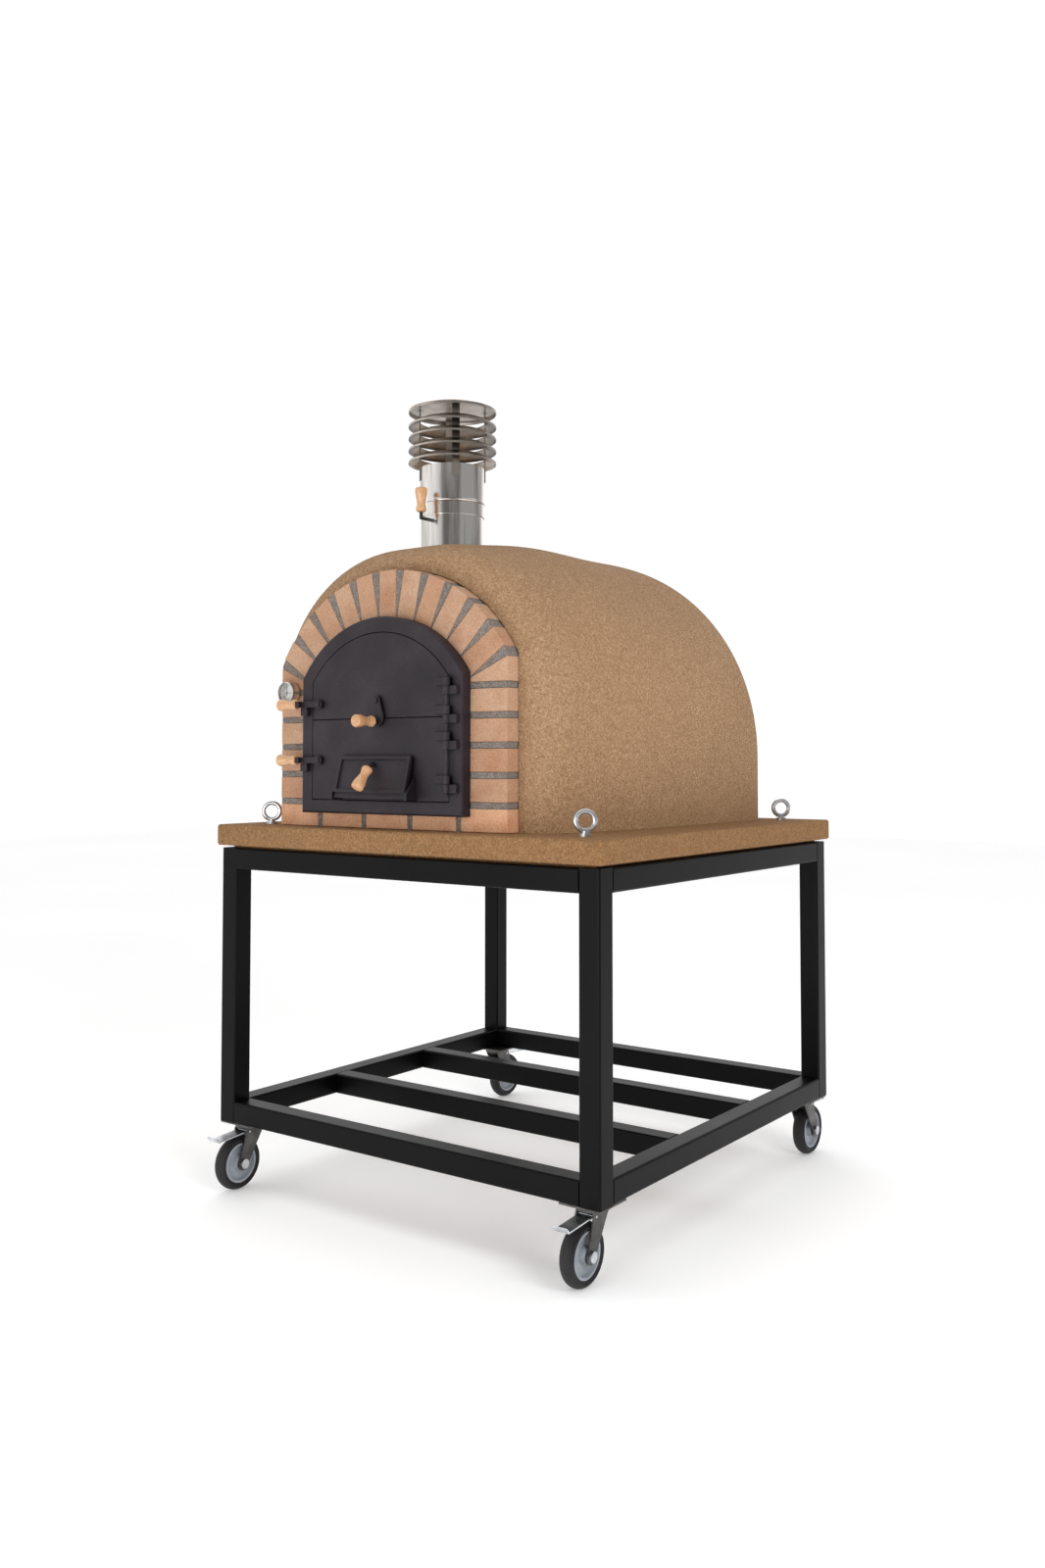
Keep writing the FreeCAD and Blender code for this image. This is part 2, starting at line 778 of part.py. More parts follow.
def build_dome():
    flue_low = above_slab(S.dome_height - cavity_inset - S.flue_drop * 3)
    flue_hole = rod(axis_x, flue_y, flue_low, S.flue_radius + S.flue_fit, S.dome_height)
    facade_hole = facade_block(S.layer_gap, dome_front_y - S.facade_proud, vault_front_y)
    render = cut(dome_solid(measure(0)), dome_solid(S.render_thick), facade_hole, flue_hole)
    node("outer_render", render)
    blanket_core = dome_solid(blanket_inset + S.blanket_thick)
    node("insulation_blanket", cut(dome_solid(blanket_inset), blanket_core, facade_hole, flue_hole))
    mouth = padded([arched(opening_half - S.door_stop, S.door_sill, S.door_arch_centre,
                           S.door_frame_radius - S.door_border - S.door_stop)], S.vault_thick * 3)
    place(mouth, axis_x, vault_front_y + S.vault_thick * 2, slab_top, FRONTWARDS)
    cavity = dome_solid(cavity_inset)
    node("brick_vault", cut(dome_solid(vault_inset), cavity, mouth, flue_hole))
    build_hearth()


def build_hearth():
    """Square hearth tiles, the outer ones cut to the curve of the vault."""
    bed = dome_solid(cavity_inset + S.layer_gap)
    width = (S.dome_half_width - cavity_inset) * 2
    front_y = vault_front_y + S.vault_thick
    length = dome_rear_y - cavity_inset - front_y
    tile_x = width / HEARTH_COLUMNS
    tile_y = length / HEARTH_ROWS
    tiles = []
    for column in range(HEARTH_COLUMNS):
        for row in range(HEARTH_ROWS):
            tiles.append(box(axis_x - width / 2 + tile_x * column + S.hearth_joint / 2,
                             front_y + tile_y * row + S.hearth_joint / 2, slab_top,
                             tile_x - S.hearth_joint, tile_y - S.hearth_joint, S.hearth_thick))
    clipped = []
    for tile in tiles:
        piece = doc.addObject("Part::Common", "Tile")
        piece.Base = tile
        piece.Tool = bed
        clipped.append(piece)
    node("hearth_tiles", group(*clipped))


# brick facade

def skewback(side, top_row):
    """The wedge-cut brick between a jamb and the first full voussoir, on the left or the right."""
    slope = math.radians(ARCH_SPRING_DEGREES - (180 - 2 * ARCH_SPRING_DEGREES) / VOUSSOIRS / 2)
    lift = S.arch_centre_height + S.brick_height / (2 * math.cos(slope))
    inner = S.facade_half_width - S.jamb_width
    outer = S.facade_half_width
    outline = [(inner, top_row), (outer, top_row), (outer, lift + outer * math.tan(slope)),
               (inner, lift + inner * math.tan(slope))]
    if side < 0:
        outline = [(-across, up) for across, up in reversed(outline)]
    return place(padded([outline], facade_depth), axis_x, vault_front_y, slab_top, FRONTWARDS)


def build_facade():
    pitch = S.brick_height + S.brick_joint
    half = S.facade_half_width
    bricks = []
    sill_length = (half * 2 - S.brick_joint * (SILL_BRICKS - 1)) / SILL_BRICKS
    for index in range(SILL_BRICKS):
        bricks.append(box(axis_x - half + (sill_length + S.brick_joint) * index, face_y, slab_top,
                          sill_length, facade_depth, S.brick_height))
    for row in range(1, JAMB_BRICKS + 1):
        for start in (axis_x - half, axis_x + half - S.jamb_width):
            bricks.append(box(start, face_y, slab_top + pitch * row,
                              S.jamb_width, facade_depth, S.brick_height))
    top_row = pitch * (JAMB_BRICKS + 1)
    bricks += [skewback(side, top_row) for side in (-1, 1)]
    step = (180 - 2 * ARCH_SPRING_DEGREES) / VOUSSOIRS
    for index in range(VOUSSOIRS):
        lean = ARCH_SPRING_DEGREES - 90 + step * (index + 0.5)
        cosine = math.cos(math.radians(lean))
        sine = math.sin(math.radians(lean))
        foot_x = S.arch_inner_radius * sine - S.brick_height / 2 * cosine
        foot_z = S.arch_inner_radius * cosine + S.brick_height / 2 * sine
        bricks.append(box(axis_x + foot_x, face_y, above_slab(S.arch_centre_height + foot_z),
                          S.brick_height, facade_depth, S.voussoir_length, Rotation(Vector(0, 1, 0), lean)))
    node("facade_bricks", group(*bricks))
    ring_radius = S.arch_inner_radius + S.voussoir_length - S.mortar_recess
    mouth_radius = S.arch_inner_radius + S.mortar_inner_recess
    mouth_half = half - S.jamb_width + S.mortar_inner_recess
    bed = padded([
        arched(half - S.mortar_recess, 0, S.arch_centre_height, ring_radius),
        arched(mouth_half, S.brick_height - S.mortar_inner_recess, S.arch_centre_height, mouth_radius),
    ], facade_depth - S.mortar_recess)
    place(bed, axis_x, vault_front_y, slab_top, FRONTWARDS)
    stem = rod(axis_x - S.dial_across, face_y, above_slab(top_row - S.brick_joint / 2),
               S.dial_stem_radius + S.dial_stem_fit, S.dial_stem_length + S.dial_stem_fit, "y")
    node("facade_mortar", cut(bed, fuse(*bricks), stem))


# doors and their hardware

def arch_plate(half_width, bottom, radius, front_y, thick, *holes):
    body = padded([arched(half_width, bottom, S.door_arch_centre, radius), *holes], thick)
    return place(body, axis_x, front_y + thick, slab_top, FRONTWARDS)


HINGE_NAMES = ("upper_hinge_high", "upper_hinge_low", "lower_hinge_high", "lower_hinge_low")


def hinge_level(name):
    return above_slab(getattr(S, name))


def pin_hole():
    bottom = hinge_level("lower_hinge_low") - S.knuckle_height * 2
    top = hinge_level("upper_hinge_high") + S.knuckle_height * 2
    return rod(pin_x, pin_y, bottom, S.pin_radius + S.pin_fit, top - bottom)


def frame_knuckle(name):
    bottom = hinge_level(name) - S.knuckle_gap / 2 - S.knuckle_height
    barrel = rod(pin_x, pin_y, bottom, S.knuckle_radius, S.knuckle_height)
    arm = box(pin_x + S.door_edge_gap, pin_y, bottom, S.hinge_arm, S.pin_offset, S.knuckle_height)
    return [barrel, arm]


def door_knuckle(name):
    bottom = hinge_level(name) + S.knuckle_gap / 2
    barrel = rod(pin_x, pin_y, bottom, S.knuckle_radius, S.knuckle_height)
    root_x = pin_x - S.door_edge_gap
    arm = box(root_x - S.knuckle_radius, pin_y, bottom, S.knuckle_radius, S.pin_offset, S.knuckle_height)
    tail = box(root_x - S.hinge_tail, door_front_y - S.hinge_tail_thick, bottom,
               S.hinge_tail, S.hinge_tail_thick, S.knuckle_height)
    return [barrel, arm, tail]


def keeper(height):
    """A pad on the door frame's left side, and in front of its foot a ledge that the latch rests on."""
    left = axis_x - S.door_frame_half_width + (S.door_border - S.keeper_width) / 2
    middle = above_slab(height)
    bottom = middle - S.keeper_drop
    pad = box(left, door_front_y - S.keeper_proud, bottom,
              S.keeper_width, S.keeper_proud, S.keeper_drop + S.keeper_rise)
    reach = S.latch_standoff + S.latch_thick
    ledge_height = S.keeper_drop - S.latch_height / 2 - S.keeper_gap
    ledge = box(left, door_front_y - reach, bottom, S.keeper_width, reach - S.keeper_proud, ledge_height)
    return [pad, ledge]


def build_door_frame():
    inner_radius = S.door_frame_radius - S.door_border
    stop_half = opening_half - S.door_stop
    stop_radius = inner_radius - S.door_stop
    flange = padded([
        arched(S.door_frame_half_width, S.door_frame_bottom, S.door_arch_centre, S.door_frame_radius),
        arched(opening_half, S.door_sill, S.door_arch_centre, inner_radius),
    ], S.door_frame_thick)
    bevelled(flange, opening_half + S.door_border / 2, S.door_frame_bevel)
    place(flange, axis_x, face_y, slab_top, FRONTWARDS)
    sleeve_bottom = S.door_sill + S.door_stop - S.sleeve_wall * 2
    sleeve = arch_plate(stop_half + S.sleeve_wall * 2, sleeve_bottom, stop_radius + S.sleeve_wall * 2,
                        door_stop_y, face_y + S.sleeve_depth - door_stop_y,
                        arched(stop_half, S.door_sill + S.door_stop, S.door_arch_centre, stop_radius))
    pieces = [flange, sleeve]
    for name in HINGE_NAMES:
        pieces += frame_knuckle(name)
    node("door_frame", cut(fuse(*pieces), pin_hole()))
    node("latch_keepers", group(*keeper(S.upper_latch_height), *keeper(S.lower_latch_height)))
    bottom = hinge_level("lower_hinge_low") - S.knuckle_gap - S.knuckle_height - S.pin_overrun
    top = hinge_level("upper_hinge_high") + S.knuckle_gap + S.knuckle_height + S.pin_overrun
    node("hinge_pin", rod(pin_x, pin_y, bottom, S.pin_radius, top - bottom))


def build_lower_door():
    half = opening_half - S.door_edge_gap
    bottom = S.door_sill + S.door_edge_gap
    top = S.door_split - S.door_edge_gap / 2
    window_top = S.flap_window_bottom + S.flap_window_height
    window = rectangle(-S.flap_window_width / 2, S.flap_window_width / 2, S.flap_window_bottom, window_top)
    plate = padded([rectangle(-half, half, bottom, top), window], S.door_thick)
    place(plate, axis_x, door_front_y + S.door_thick, slab_top, FRONTWARDS)
    pieces = [plate] + door_knuckle("lower_hinge_high") + door_knuckle("lower_hinge_low")
    for side in (-1, 1):
        pieces.append(flap_ear(side))
    pivot_y = flap_pivot_y()
    ears = S.flap_width + S.flap_ear_thick * 4
    flap_hole = rod(axis_x - ears / 2, pivot_y, above_slab(S.flap_pivot_height),
                    S.flap_pin_radius + S.flap_pin_fit, ears, "x")
    node("lower_door", cut(fuse(*pieces), pin_hole(), flap_hole))


FLAP_LEAN = math.radians(FLAP_LEAN_DEGREES)


def flap_reach():
    """How far the flap's pin stands in front of the door, so that the leaning flap's top just clears it."""
    return S.flap_gap + S.flap_thick / 2 * math.cos(FLAP_LEAN) + S.flap_length * math.sin(FLAP_LEAN)


def flap_pivot_y():
    return door_front_y - flap_reach()


def flap_ear(side):
    """A three-cornered cheek beside the flap, which carries its pin."""
    foot = S.flap_pivot_height - S.flap_ear_lip
    front = flap_reach() + S.flap_ear_lip
    outline = [(0, foot), (0, foot + S.flap_ear_height), (-S.flap_thick, foot + S.flap_ear_height),
               (-front, foot + S.flap_ear_lip * 2), (-front, foot)]
    inside = S.flap_width / 2 + S.flap_side_gap
    start = axis_x + inside if side > 0 else axis_x - inside - S.flap_ear_thick
    return place(padded([outline], S.flap_ear_thick), start, door_front_y, slab_top, SIDEWAYS)


def build_upper_door():
    half = opening_half - S.door_edge_gap
    radius = S.door_frame_radius - S.door_border - S.door_edge_gap
    bottom = S.door_split + S.door_edge_gap / 2
    plate = arch_plate(half, bottom, radius, door_front_y, S.door_thick)
    pieces = [plate] + door_knuckle("upper_hinge_high") + door_knuckle("upper_hinge_low")
    peephole = rod(axis_x, door_front_y - S.door_thick, above_slab(S.peephole_height),
                   S.peephole_radius, S.door_thick * 3, "y")
    node("upper_door", cut(fuse(*pieces), pin_hole(), peephole))


def pivot_bolt(x, height, standoff, thick):
    """A shouldered bolt on a door's front, which a lever or a cover turns on."""
    shoulder = standoff - S.pivot_side_gap
    grip = thick + S.pivot_side_gap * 2
    z = above_slab(height)
    collar = rod(x, door_front_y, z, S.pivot_head_radius, shoulder, "-y")
    shank = rod(x, door_front_y, z, S.pivot_radius, shoulder + grip, "-y")
    head = rod(x, door_front_y - shoulder - grip, z, S.pivot_head_radius, S.pivot_head_thick, "-y")
    return fuse(collar, shank, head)


def latch_pivot_x():
    return axis_x - opening_half + S.door_edge_gap + S.latch_pivot_inset


def build_latch(name, height):
    """A lever on the door's left side, cranked forward to a stub that carries a wooden knob."""
    x = latch_pivot_x()
    z = above_slab(height)
    front = door_front_y - S.latch_standoff - S.latch_thick
    half = S.latch_height / 2
    boss = rod(x, front, z, S.latch_height * 0.75, S.latch_thick, "y")
    bar = box(x - S.latch_reach, front, z - half, S.latch_reach, S.latch_thick, S.latch_height)
    stub_y = door_front_y - S.latch_knob_forward
    end_x = x - S.latch_reach
    crank = box(end_x - S.latch_stub, stub_y - S.latch_stub_radius, z - half, S.latch_stub,
                front + S.latch_thick - stub_y + S.latch_stub_radius, S.latch_height)
    bore = rod(x, front, z, S.pivot_radius + S.pivot_fit, S.latch_thick, "y")
    node("%s_latch" % name, cut(fuse(boss, bar, crank), bore))
    knob(name + "_latch_knob", end_x - S.latch_stub, stub_y, z, Vector(-1, 0, 0))


def knob(name, x, y, z, direction):
    """A turned wooden knob: a round head, a waist and a fuller base."""
    head = S.knob_head_radius
    waist = S.knob_waist_radius
    neck = S.knob_length - head - root(head * head - waist * waist)
    body = turned([(0, 0), (S.knob_base_radius, 0, S.knob_base_curve),
                   (waist, neck - S.knob_waist_length, -S.knob_waist_curve),
                   (waist, neck, head), (0, S.knob_length)])
    node(name, place(body, x, y, z, Rotation(Vector(0, 0, 1), direction)))


def build_peephole_cover():
    large = S.cover_disc_radius
    small = S.cover_top_radius
    low = S.cover_disc_height
    high = S.cover_pivot_height
    lean = (large - small) / (high - low)
    face = root(1 - lean * lean)
    outline = [
        (large * face, low + large * lean), (small * face, high + small * lean, small),
        (-small * face, high + small * lean), (-large * face, low + large * lean, large),
        (0, low - large, large),
    ]
    back = door_front_y - S.cover_standoff
    front = back - S.cover_thick
    plate = place(padded([outline], S.cover_thick), axis_x, back, slab_top, FRONTWARDS)
    stub = rod(axis_x, front, above_slab(S.cover_knob_height), S.cover_stub_radius, S.cover_stub, "-y")
    bore = rod(axis_x, front, above_slab(high), S.pivot_radius + S.pivot_fit, S.cover_thick, "y")
    node("peephole_cover", cut(fuse(plate, stub), bore))
    knob("peephole_knob", axis_x, front - S.cover_stub, above_slab(S.cover_knob_height), Vector(0, -1, 0))


def leaning_box(x, depth, rise, width, thick, height):
    """A block in the flap's leaning plane: depth goes into the door and rise up the flap from its pin."""
    y = flap_pivot_y() + depth * math.cos(FLAP_LEAN) + rise * math.sin(FLAP_LEAN)
    z = above_slab(S.flap_pivot_height) - depth * math.sin(FLAP_LEAN) + rise * math.cos(FLAP_LEAN)
    return box(x, y, z, width, thick, height, Rotation(Vector(1, 0, 0), -FLAP_LEAN_DEGREES))


def build_draught_flap():
    pivot_y = flap_pivot_y()
    pivot_z = above_slab(S.flap_pivot_height)
    left = axis_x - S.flap_width / 2
    rim = S.flap_rim_width
    front = S.flap_thick / -2
    plate = leaning_box(left, front, measure(0), S.flap_width, S.flap_thick, S.flap_length)
    raised = leaning_box(left, front - S.flap_rim_height, rim, S.flap_width, S.flap_rim_height,
                         S.flap_length - rim)
    hollow = leaning_box(left + rim, front - S.flap_rim_height, rim * 2, S.flap_width - rim * 2,
                         S.flap_rim_height, S.flap_length - rim * 3)
    barrel = rod(left, pivot_y, pivot_z, S.flap_barrel_radius, S.flap_width, "x")
    overrun = S.flap_side_gap + S.flap_ear_thick
    pin = rod(left - overrun, pivot_y, pivot_z, S.flap_pin_radius, S.flap_width + overrun * 2, "x")
    root_y = pivot_y + S.flap_stub_rise * math.sin(FLAP_LEAN)
    stub_z = pivot_z + S.flap_stub_rise * math.cos(FLAP_LEAN)
    stub = rod(axis_x, root_y, stub_z, S.flap_stub_radius, S.flap_stub, "-y")
    elbow_y = root_y - S.flap_stub
    elbow = ball(axis_x, elbow_y, stub_z, S.flap_stub_radius)
    angle = math.radians(FLAP_KNOB_DEGREES)
    direction = Vector(0, -math.cos(angle), -math.sin(angle))
    arm = rod(axis_x, elbow_y, stub_z, S.flap_stub_radius, S.flap_stub_radius * 2, direction)
    node("draught_flap", fuse(plate, cut(raised, hollow), barrel, pin, stub, elbow, arm))
    knob("draught_knob", axis_x, elbow_y + S.flap_stub_radius * (2 * direction.y),
         stub_z + S.flap_stub_radius * (2 * direction.z), direction)


def build_pivots():
    latch = pivot_bolt(latch_pivot_x(), S.upper_latch_height, S.latch_standoff, S.latch_thick)
    cover = pivot_bolt(axis_x, S.cover_pivot_height, S.cover_standoff, S.cover_thick)
    node("upper_door_pivots", group(latch, cover))
    lower = pivot_bolt(latch_pivot_x(), S.lower_latch_height, S.latch_standoff, S.latch_thick)
    node("lower_door_pivot", lower)


# dial thermometer

def build_thermometer():
    x = axis_x - S.dial_across
    pitch = S.brick_height + S.brick_joint
    z = above_slab(pitch * (JAMB_BRICKS + 1) - S.brick_joint / 2)
    radius = S.dial_case_radius
    inner = radius - S.dial_wall
    depth = S.dial_case_depth
    lens_seat = depth - S.dial_lens_recess - S.dial_lens_thick
    forwards = Rotation(Vector(0, 0, 1), Vector(0, -1, 0))
    case = turned([
        (0, -S.dial_stem_length), (S.dial_stem_radius, -S.dial_stem_length), (S.dial_stem_radius, 0),
        (radius - S.dial_wall, 0), (radius, S.dial_wall), (radius, depth), (inner, depth),
        (inner, lens_seat), (inner - S.dial_wall, lens_seat), (inner - S.dial_wall, S.dial_back_thick),
        (0, S.dial_back_thick),
    ])
    post_top = lens_seat - S.dial_face_thick
    post = rod(x, face_y - S.dial_back_thick, z, S.needle_post_radius, post_top - S.dial_back_thick, "-y")
    node("thermometer_case", fuse(place(case, x, face_y, z, forwards), post))
    face = turned([
        (S.needle_post_radius + S.dial_fit, 0), (inner - S.dial_wall - S.dial_fit, 0),
        (inner - S.dial_wall - S.dial_fit, S.dial_face_thick),
        (S.needle_post_radius + S.dial_fit, S.dial_face_thick),
    ])
    node("thermometer_dial", place(face, x, face_y - S.dial_back_thick, z, forwards))
    lens_radius = inner - S.dial_fit
    lens = turned([(0, 0), (lens_radius, 0), (lens_radius, S.dial_lens_thick), (0, S.dial_lens_thick)])
    node("thermometer_lens", place(lens, x, face_y - lens_seat, z, forwards))
    needle_y = face_y - post_top + S.needle_thick
    hub = rod(x, needle_y - S.needle_thick * 2, z, S.needle_hub_radius, S.needle_thick * 2, "y")
    half = S.needle_width / 2
    hand = box(x - half, needle_y - S.needle_thick, z - S.needle_tail, S.needle_width, S.needle_thick,
               S.needle_tail + S.needle_length)
    bore = rod(x, needle_y - S.needle_thick * 2, z, S.needle_post_radius + S.needle_post_fit,
               S.needle_thick * 2, "y")
    node("thermometer_needle", cut(fuse(hub, hand), bore))


# flue, damper and cowl

def pipe(inner, outer, bottom, top):
    body = turned([(inner, 0), (outer, 0), (outer, top - bottom), (inner, top - bottom)])
    return place(body, axis_x, flue_y, bottom)


def build_flue():
    bore = S.flue_radius - S.flue_wall
    bottom = above_slab(S.dome_height - cavity_inset - S.flue_drop)
    shell = pipe(bore, S.flue_radius, bottom, S.flue_top)
    run = S.flue_radius * 2 + S.spindle_back * 2
    spindle_hole = rod(axis_x, flue_y - run / 2, S.damper_height, S.spindle_radius + S.spindle_fit, run, "y")
    node("flue_pipe", cut(shell, spindle_hole))
    sleeve_bore = S.flue_radius + S.sleeve_fit
    sleeve_outer = sleeve_bore + S.flue_wall
    sleeve_bottom = S.flue_top - S.sleeve_overlap
    length = S.sleeve_top - sleeve_bottom
    bead = S.sleeve_bead_radius
    shoulder = S.sleeve_overlap + S.layer_gap
    sleeve = turned([
        (sleeve_bore, 0), (sleeve_outer, 0), (sleeve_outer, S.sleeve_overlap - bead, bead * 1.2),
        (sleeve_outer, S.sleeve_overlap + bead), (sleeve_outer, length), (bore, length), (bore, shoulder),
        (sleeve_bore, shoulder),
    ])
    node("damper_pipe", place(sleeve, axis_x, flue_y, sleeve_bottom))
    build_damper(bore)
    build_cowl(sleeve_outer)


def build_damper(bore):
    disc = rod(axis_x - S.damper_thick / 2, flue_y, S.damper_height, bore - S.damper_edge_gap,
               S.damper_thick, "x")
    start = flue_y - S.flue_radius - S.spindle_front
    end = flue_y + S.flue_radius + S.spindle_back
    spindle = rod(axis_x, start, S.damper_height, S.spindle_radius, end - start, "y")
    elbow = ball(axis_x, start, S.damper_height, S.spindle_radius)
    riser = rod(axis_x, start, S.damper_height, S.spindle_radius, S.spindle_rise)
    node("damper", fuse(disc, spindle, elbow, riser))
    knob("damper_knob", axis_x, start, S.damper_height + S.spindle_rise, Vector(0, 0, 1))


def build_cowl(pipe_outer):
    """Dished rings one above the other, on straps that lap the outside of the pipe."""
    strap_inner = pipe_outer + S.layer_gap
    strap_outer = strap_inner + S.cowl_strap_thick
    ring_inner = strap_outer + S.layer_gap
    roll = S.cowl_roll_radius
    sheet = S.cowl_sheet
    lip = S.cowl_radius - roll
    rings = []
    for index in range(COWL_RINGS):
        ring = turned([
            (ring_inner, 0), (lip, roll - S.cowl_ring_drop), (S.cowl_radius - sheet, -S.cowl_ring_drop),
            (S.cowl_radius, -S.cowl_ring_drop), (S.cowl_radius, roll - S.cowl_ring_drop, roll),
            (lip, roll + sheet - S.cowl_ring_drop), (ring_inner, sheet),
        ])
        rings.append(place(ring, axis_x, flue_y, S.cowl_first_ring + S.cowl_ring_pitch * index))
    node("cowl_rings", group(*rings))
    build_cap()
    top = S.cowl_cap_height - S.cowl_cap_rise - sheet
    bottom = S.sleeve_top - S.cowl_strap_lap
    straps = []
    wall = pipe(strap_inner, strap_outer, bottom, top)
    for index in range(COWL_STRAPS):
        turn = Rotation(Vector(0, 0, 1), 45 + index * 360 / COWL_STRAPS)
        width = S.cowl_strap_width
        offset = turn.multVec(Vector(0, -1, 0))
        keeper_block = box(axis_x + width / 2 * offset.x, flue_y + width / 2 * offset.y, bottom,
                           S.flue_radius * 1.2, width, top - bottom, turn)
        strap = doc.addObject("Part::Common", "Strap")
        strap.Base = wall
        strap.Tool = keeper_block
        straps.append(strap)
    node("cowl_straps", group(*straps))


def build_cap():
    """The domed cap, spun from sheet, with a flat inside ledge where the straps end."""
    rise = S.cowl_cap_rise
    sheet = S.cowl_sheet
    roll = S.cowl_roll_radius
    cap = turned([
        (0, -rise - sheet), (S.cowl_radius - roll, -rise - sheet), (S.cowl_radius - sheet, -rise - roll * 2),
        (S.cowl_radius, -rise - roll * 2), (S.cowl_radius, -rise - roll, roll), (S.cowl_radius - roll, -rise),
        (S.flue_radius, -rise / 4), (0, 0),
    ])
    node("cowl_cap", place(cap, axis_x, flue_y, S.cowl_cap_height))


build_trolley()
build_castor_plates()
for corner, (corner_x, corner_y) in CASTOR_CORNERS.items():
    build_castor(corner, corner_x, corner_y)
build_slab()
build_eye_bolts()
build_dome()
build_facade()
build_door_frame()
build_lower_door()
build_upper_door()
build_pivots()
build_latch("upper", S.upper_latch_height)
build_latch("lower", S.lower_latch_height)
build_peephole_cover()
build_draught_flap()
build_thermometer()
build_flue()

doc.recompute()
for thing in doc.Objects:
    if "Invalid" in thing.State or "Error" in thing.State:
        raise RuntimeError("%s (%s) failed: %s" % (thing.Name, thing.Label, thing.State))
for thing in NODES:
    if thing.Shape.isNull() or not thing.Shape.isValid():
        raise RuntimeError("%s has no valid shape" % thing.Label)

os.makedirs("parts", exist_ok=True)
for thing in NODES:
    thing.Shape.exportStep("parts/%s.step" % thing.Label)
    bounds = thing.Shape.BoundBox
    print("%-26s solids %2d  volume %12.0f  z %7.1f to %7.1f" % (
        thing.Label, len(thing.Shape.Solids), thing.Shape.Volume, bounds.ZMin, bounds.ZMax))
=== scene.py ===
# %% [markdown]
# # A brick oven on a trolley
#
# The oven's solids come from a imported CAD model, and this lesson gives them their looks. The solids stay where they
# are. Each gets a finish made of shader nodes. A few pieces that the solids leave plain are made here and ride on the
# same bodies: the worn bricks of the arch, the turned knobs and the marks on the dial.

import math

import bmesh
import bpy
from mathutils import Euler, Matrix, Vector


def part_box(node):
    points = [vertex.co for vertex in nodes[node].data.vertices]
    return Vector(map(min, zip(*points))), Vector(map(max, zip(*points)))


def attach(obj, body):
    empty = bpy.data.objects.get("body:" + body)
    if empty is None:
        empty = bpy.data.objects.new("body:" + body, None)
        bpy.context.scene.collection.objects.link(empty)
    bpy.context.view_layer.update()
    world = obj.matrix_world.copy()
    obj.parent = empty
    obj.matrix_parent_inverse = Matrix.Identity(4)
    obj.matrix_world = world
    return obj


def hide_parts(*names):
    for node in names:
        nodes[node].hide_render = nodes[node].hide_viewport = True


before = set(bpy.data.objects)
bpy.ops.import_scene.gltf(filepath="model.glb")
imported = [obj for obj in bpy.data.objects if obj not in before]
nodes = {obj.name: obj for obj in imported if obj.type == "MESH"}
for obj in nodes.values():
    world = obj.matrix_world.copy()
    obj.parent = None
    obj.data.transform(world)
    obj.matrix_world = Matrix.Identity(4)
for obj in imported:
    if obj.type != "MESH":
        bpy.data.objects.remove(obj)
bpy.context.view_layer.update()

# %% [markdown]
# ## Small helpers for node trees
#
# A node tree in code is a list of nodes and a list of wires. Short helpers keep each finish readable: one adds a node
# with its settings, one turns a colour as a painter writes it into the linear values that shaders use, and one starts
# a material with its Principled shader and the object coordinates that every pattern reads.

# %% Helpers for nodes
def feed(tree, item, inputs):
    """Give a node's inputs their values, or wire them to the sockets that feed them."""
    for key, value in inputs.items():
        if isinstance(value, bpy.types.NodeSocket):
            tree.links.new(value, item.inputs[key])
        else:
            item.inputs[key].default_value = value
    return item


def add(tree, kind, inputs=None, **settings):
    """Add a node, with its settings first because they decide which sockets it has."""
    item = tree.nodes.new(kind)
    for key, value in settings.items():
        setattr(item, key, value)
    return feed(tree, item, inputs or {})


def maths(tree, operation, first, second=0.0):
    """One step of arithmetic; a step on one value leaves the second out."""
    return add(tree, "ShaderNodeMath", {0: first, 1: second}, operation=operation).outputs["Value"]


def blend(tree, one, other, share):
    """A mix of two values; share is how much of the other one it has."""
    return add(tree, "ShaderNodeMix", {"Factor": share, "A": one, "B": other}).outputs["Result"]


def spread(tree, value, low, high):
    """A 0 to 1 pattern spread between two values."""
    return add(tree, "ShaderNodeMapRange", {"Value": value, "To Min": low, "To Max": high}).outputs["Result"]


# %% Helpers for colours
def linear(code):
    """An sRGB hex colour as linear RGBA."""
    channels = [int(code[i:i + 2], 16) / 255 for i in (1, 3, 5)]
    return tuple(c / 12.92 if c <= 0.04045 else ((c + 0.055) / 1.055) ** 2.4 for c in channels) + (1.0,)


def ramp(tree, factor, *stops):
    """A colour ramp through (position, hex colour) stops."""
    item = add(tree, "ShaderNodeValToRGB", {"Fac": factor})
    while len(item.color_ramp.elements) < len(stops):
        item.color_ramp.elements.new(0.5)
    for element, (position, code) in zip(item.color_ramp.elements, stops):
        element.position = position
        element.color = linear(code)
    return item.outputs["Color"]


def stained(tree, body, stain, strength):
    """One colour pattern multiplied over another."""
    return add(tree, "ShaderNodeMix", {"Factor": strength, "A": body, "B": stain}, data_type="RGBA",
               blend_type="MULTIPLY").outputs["Result"]


# %% Helpers for materials
def finish(name, **constants):
    """A new material: its tree, its shader, and the object coordinates."""
    material = bpy.data.materials.new(name)
    material.use_nodes = True
    tree = material.node_tree
    shader = tree.nodes["Principled BSDF"]
    for key, value in constants.items():
        shader.inputs[key.replace("_", " ")].default_value = value
    place = add(tree, "ShaderNodeTexCoord").outputs["Object"]
    return material, tree, shader, place


def colour(tree, shader, socket):
    """Wire a colour pattern to the shader."""
    tree.links.new(socket, shader.inputs["Base Color"])


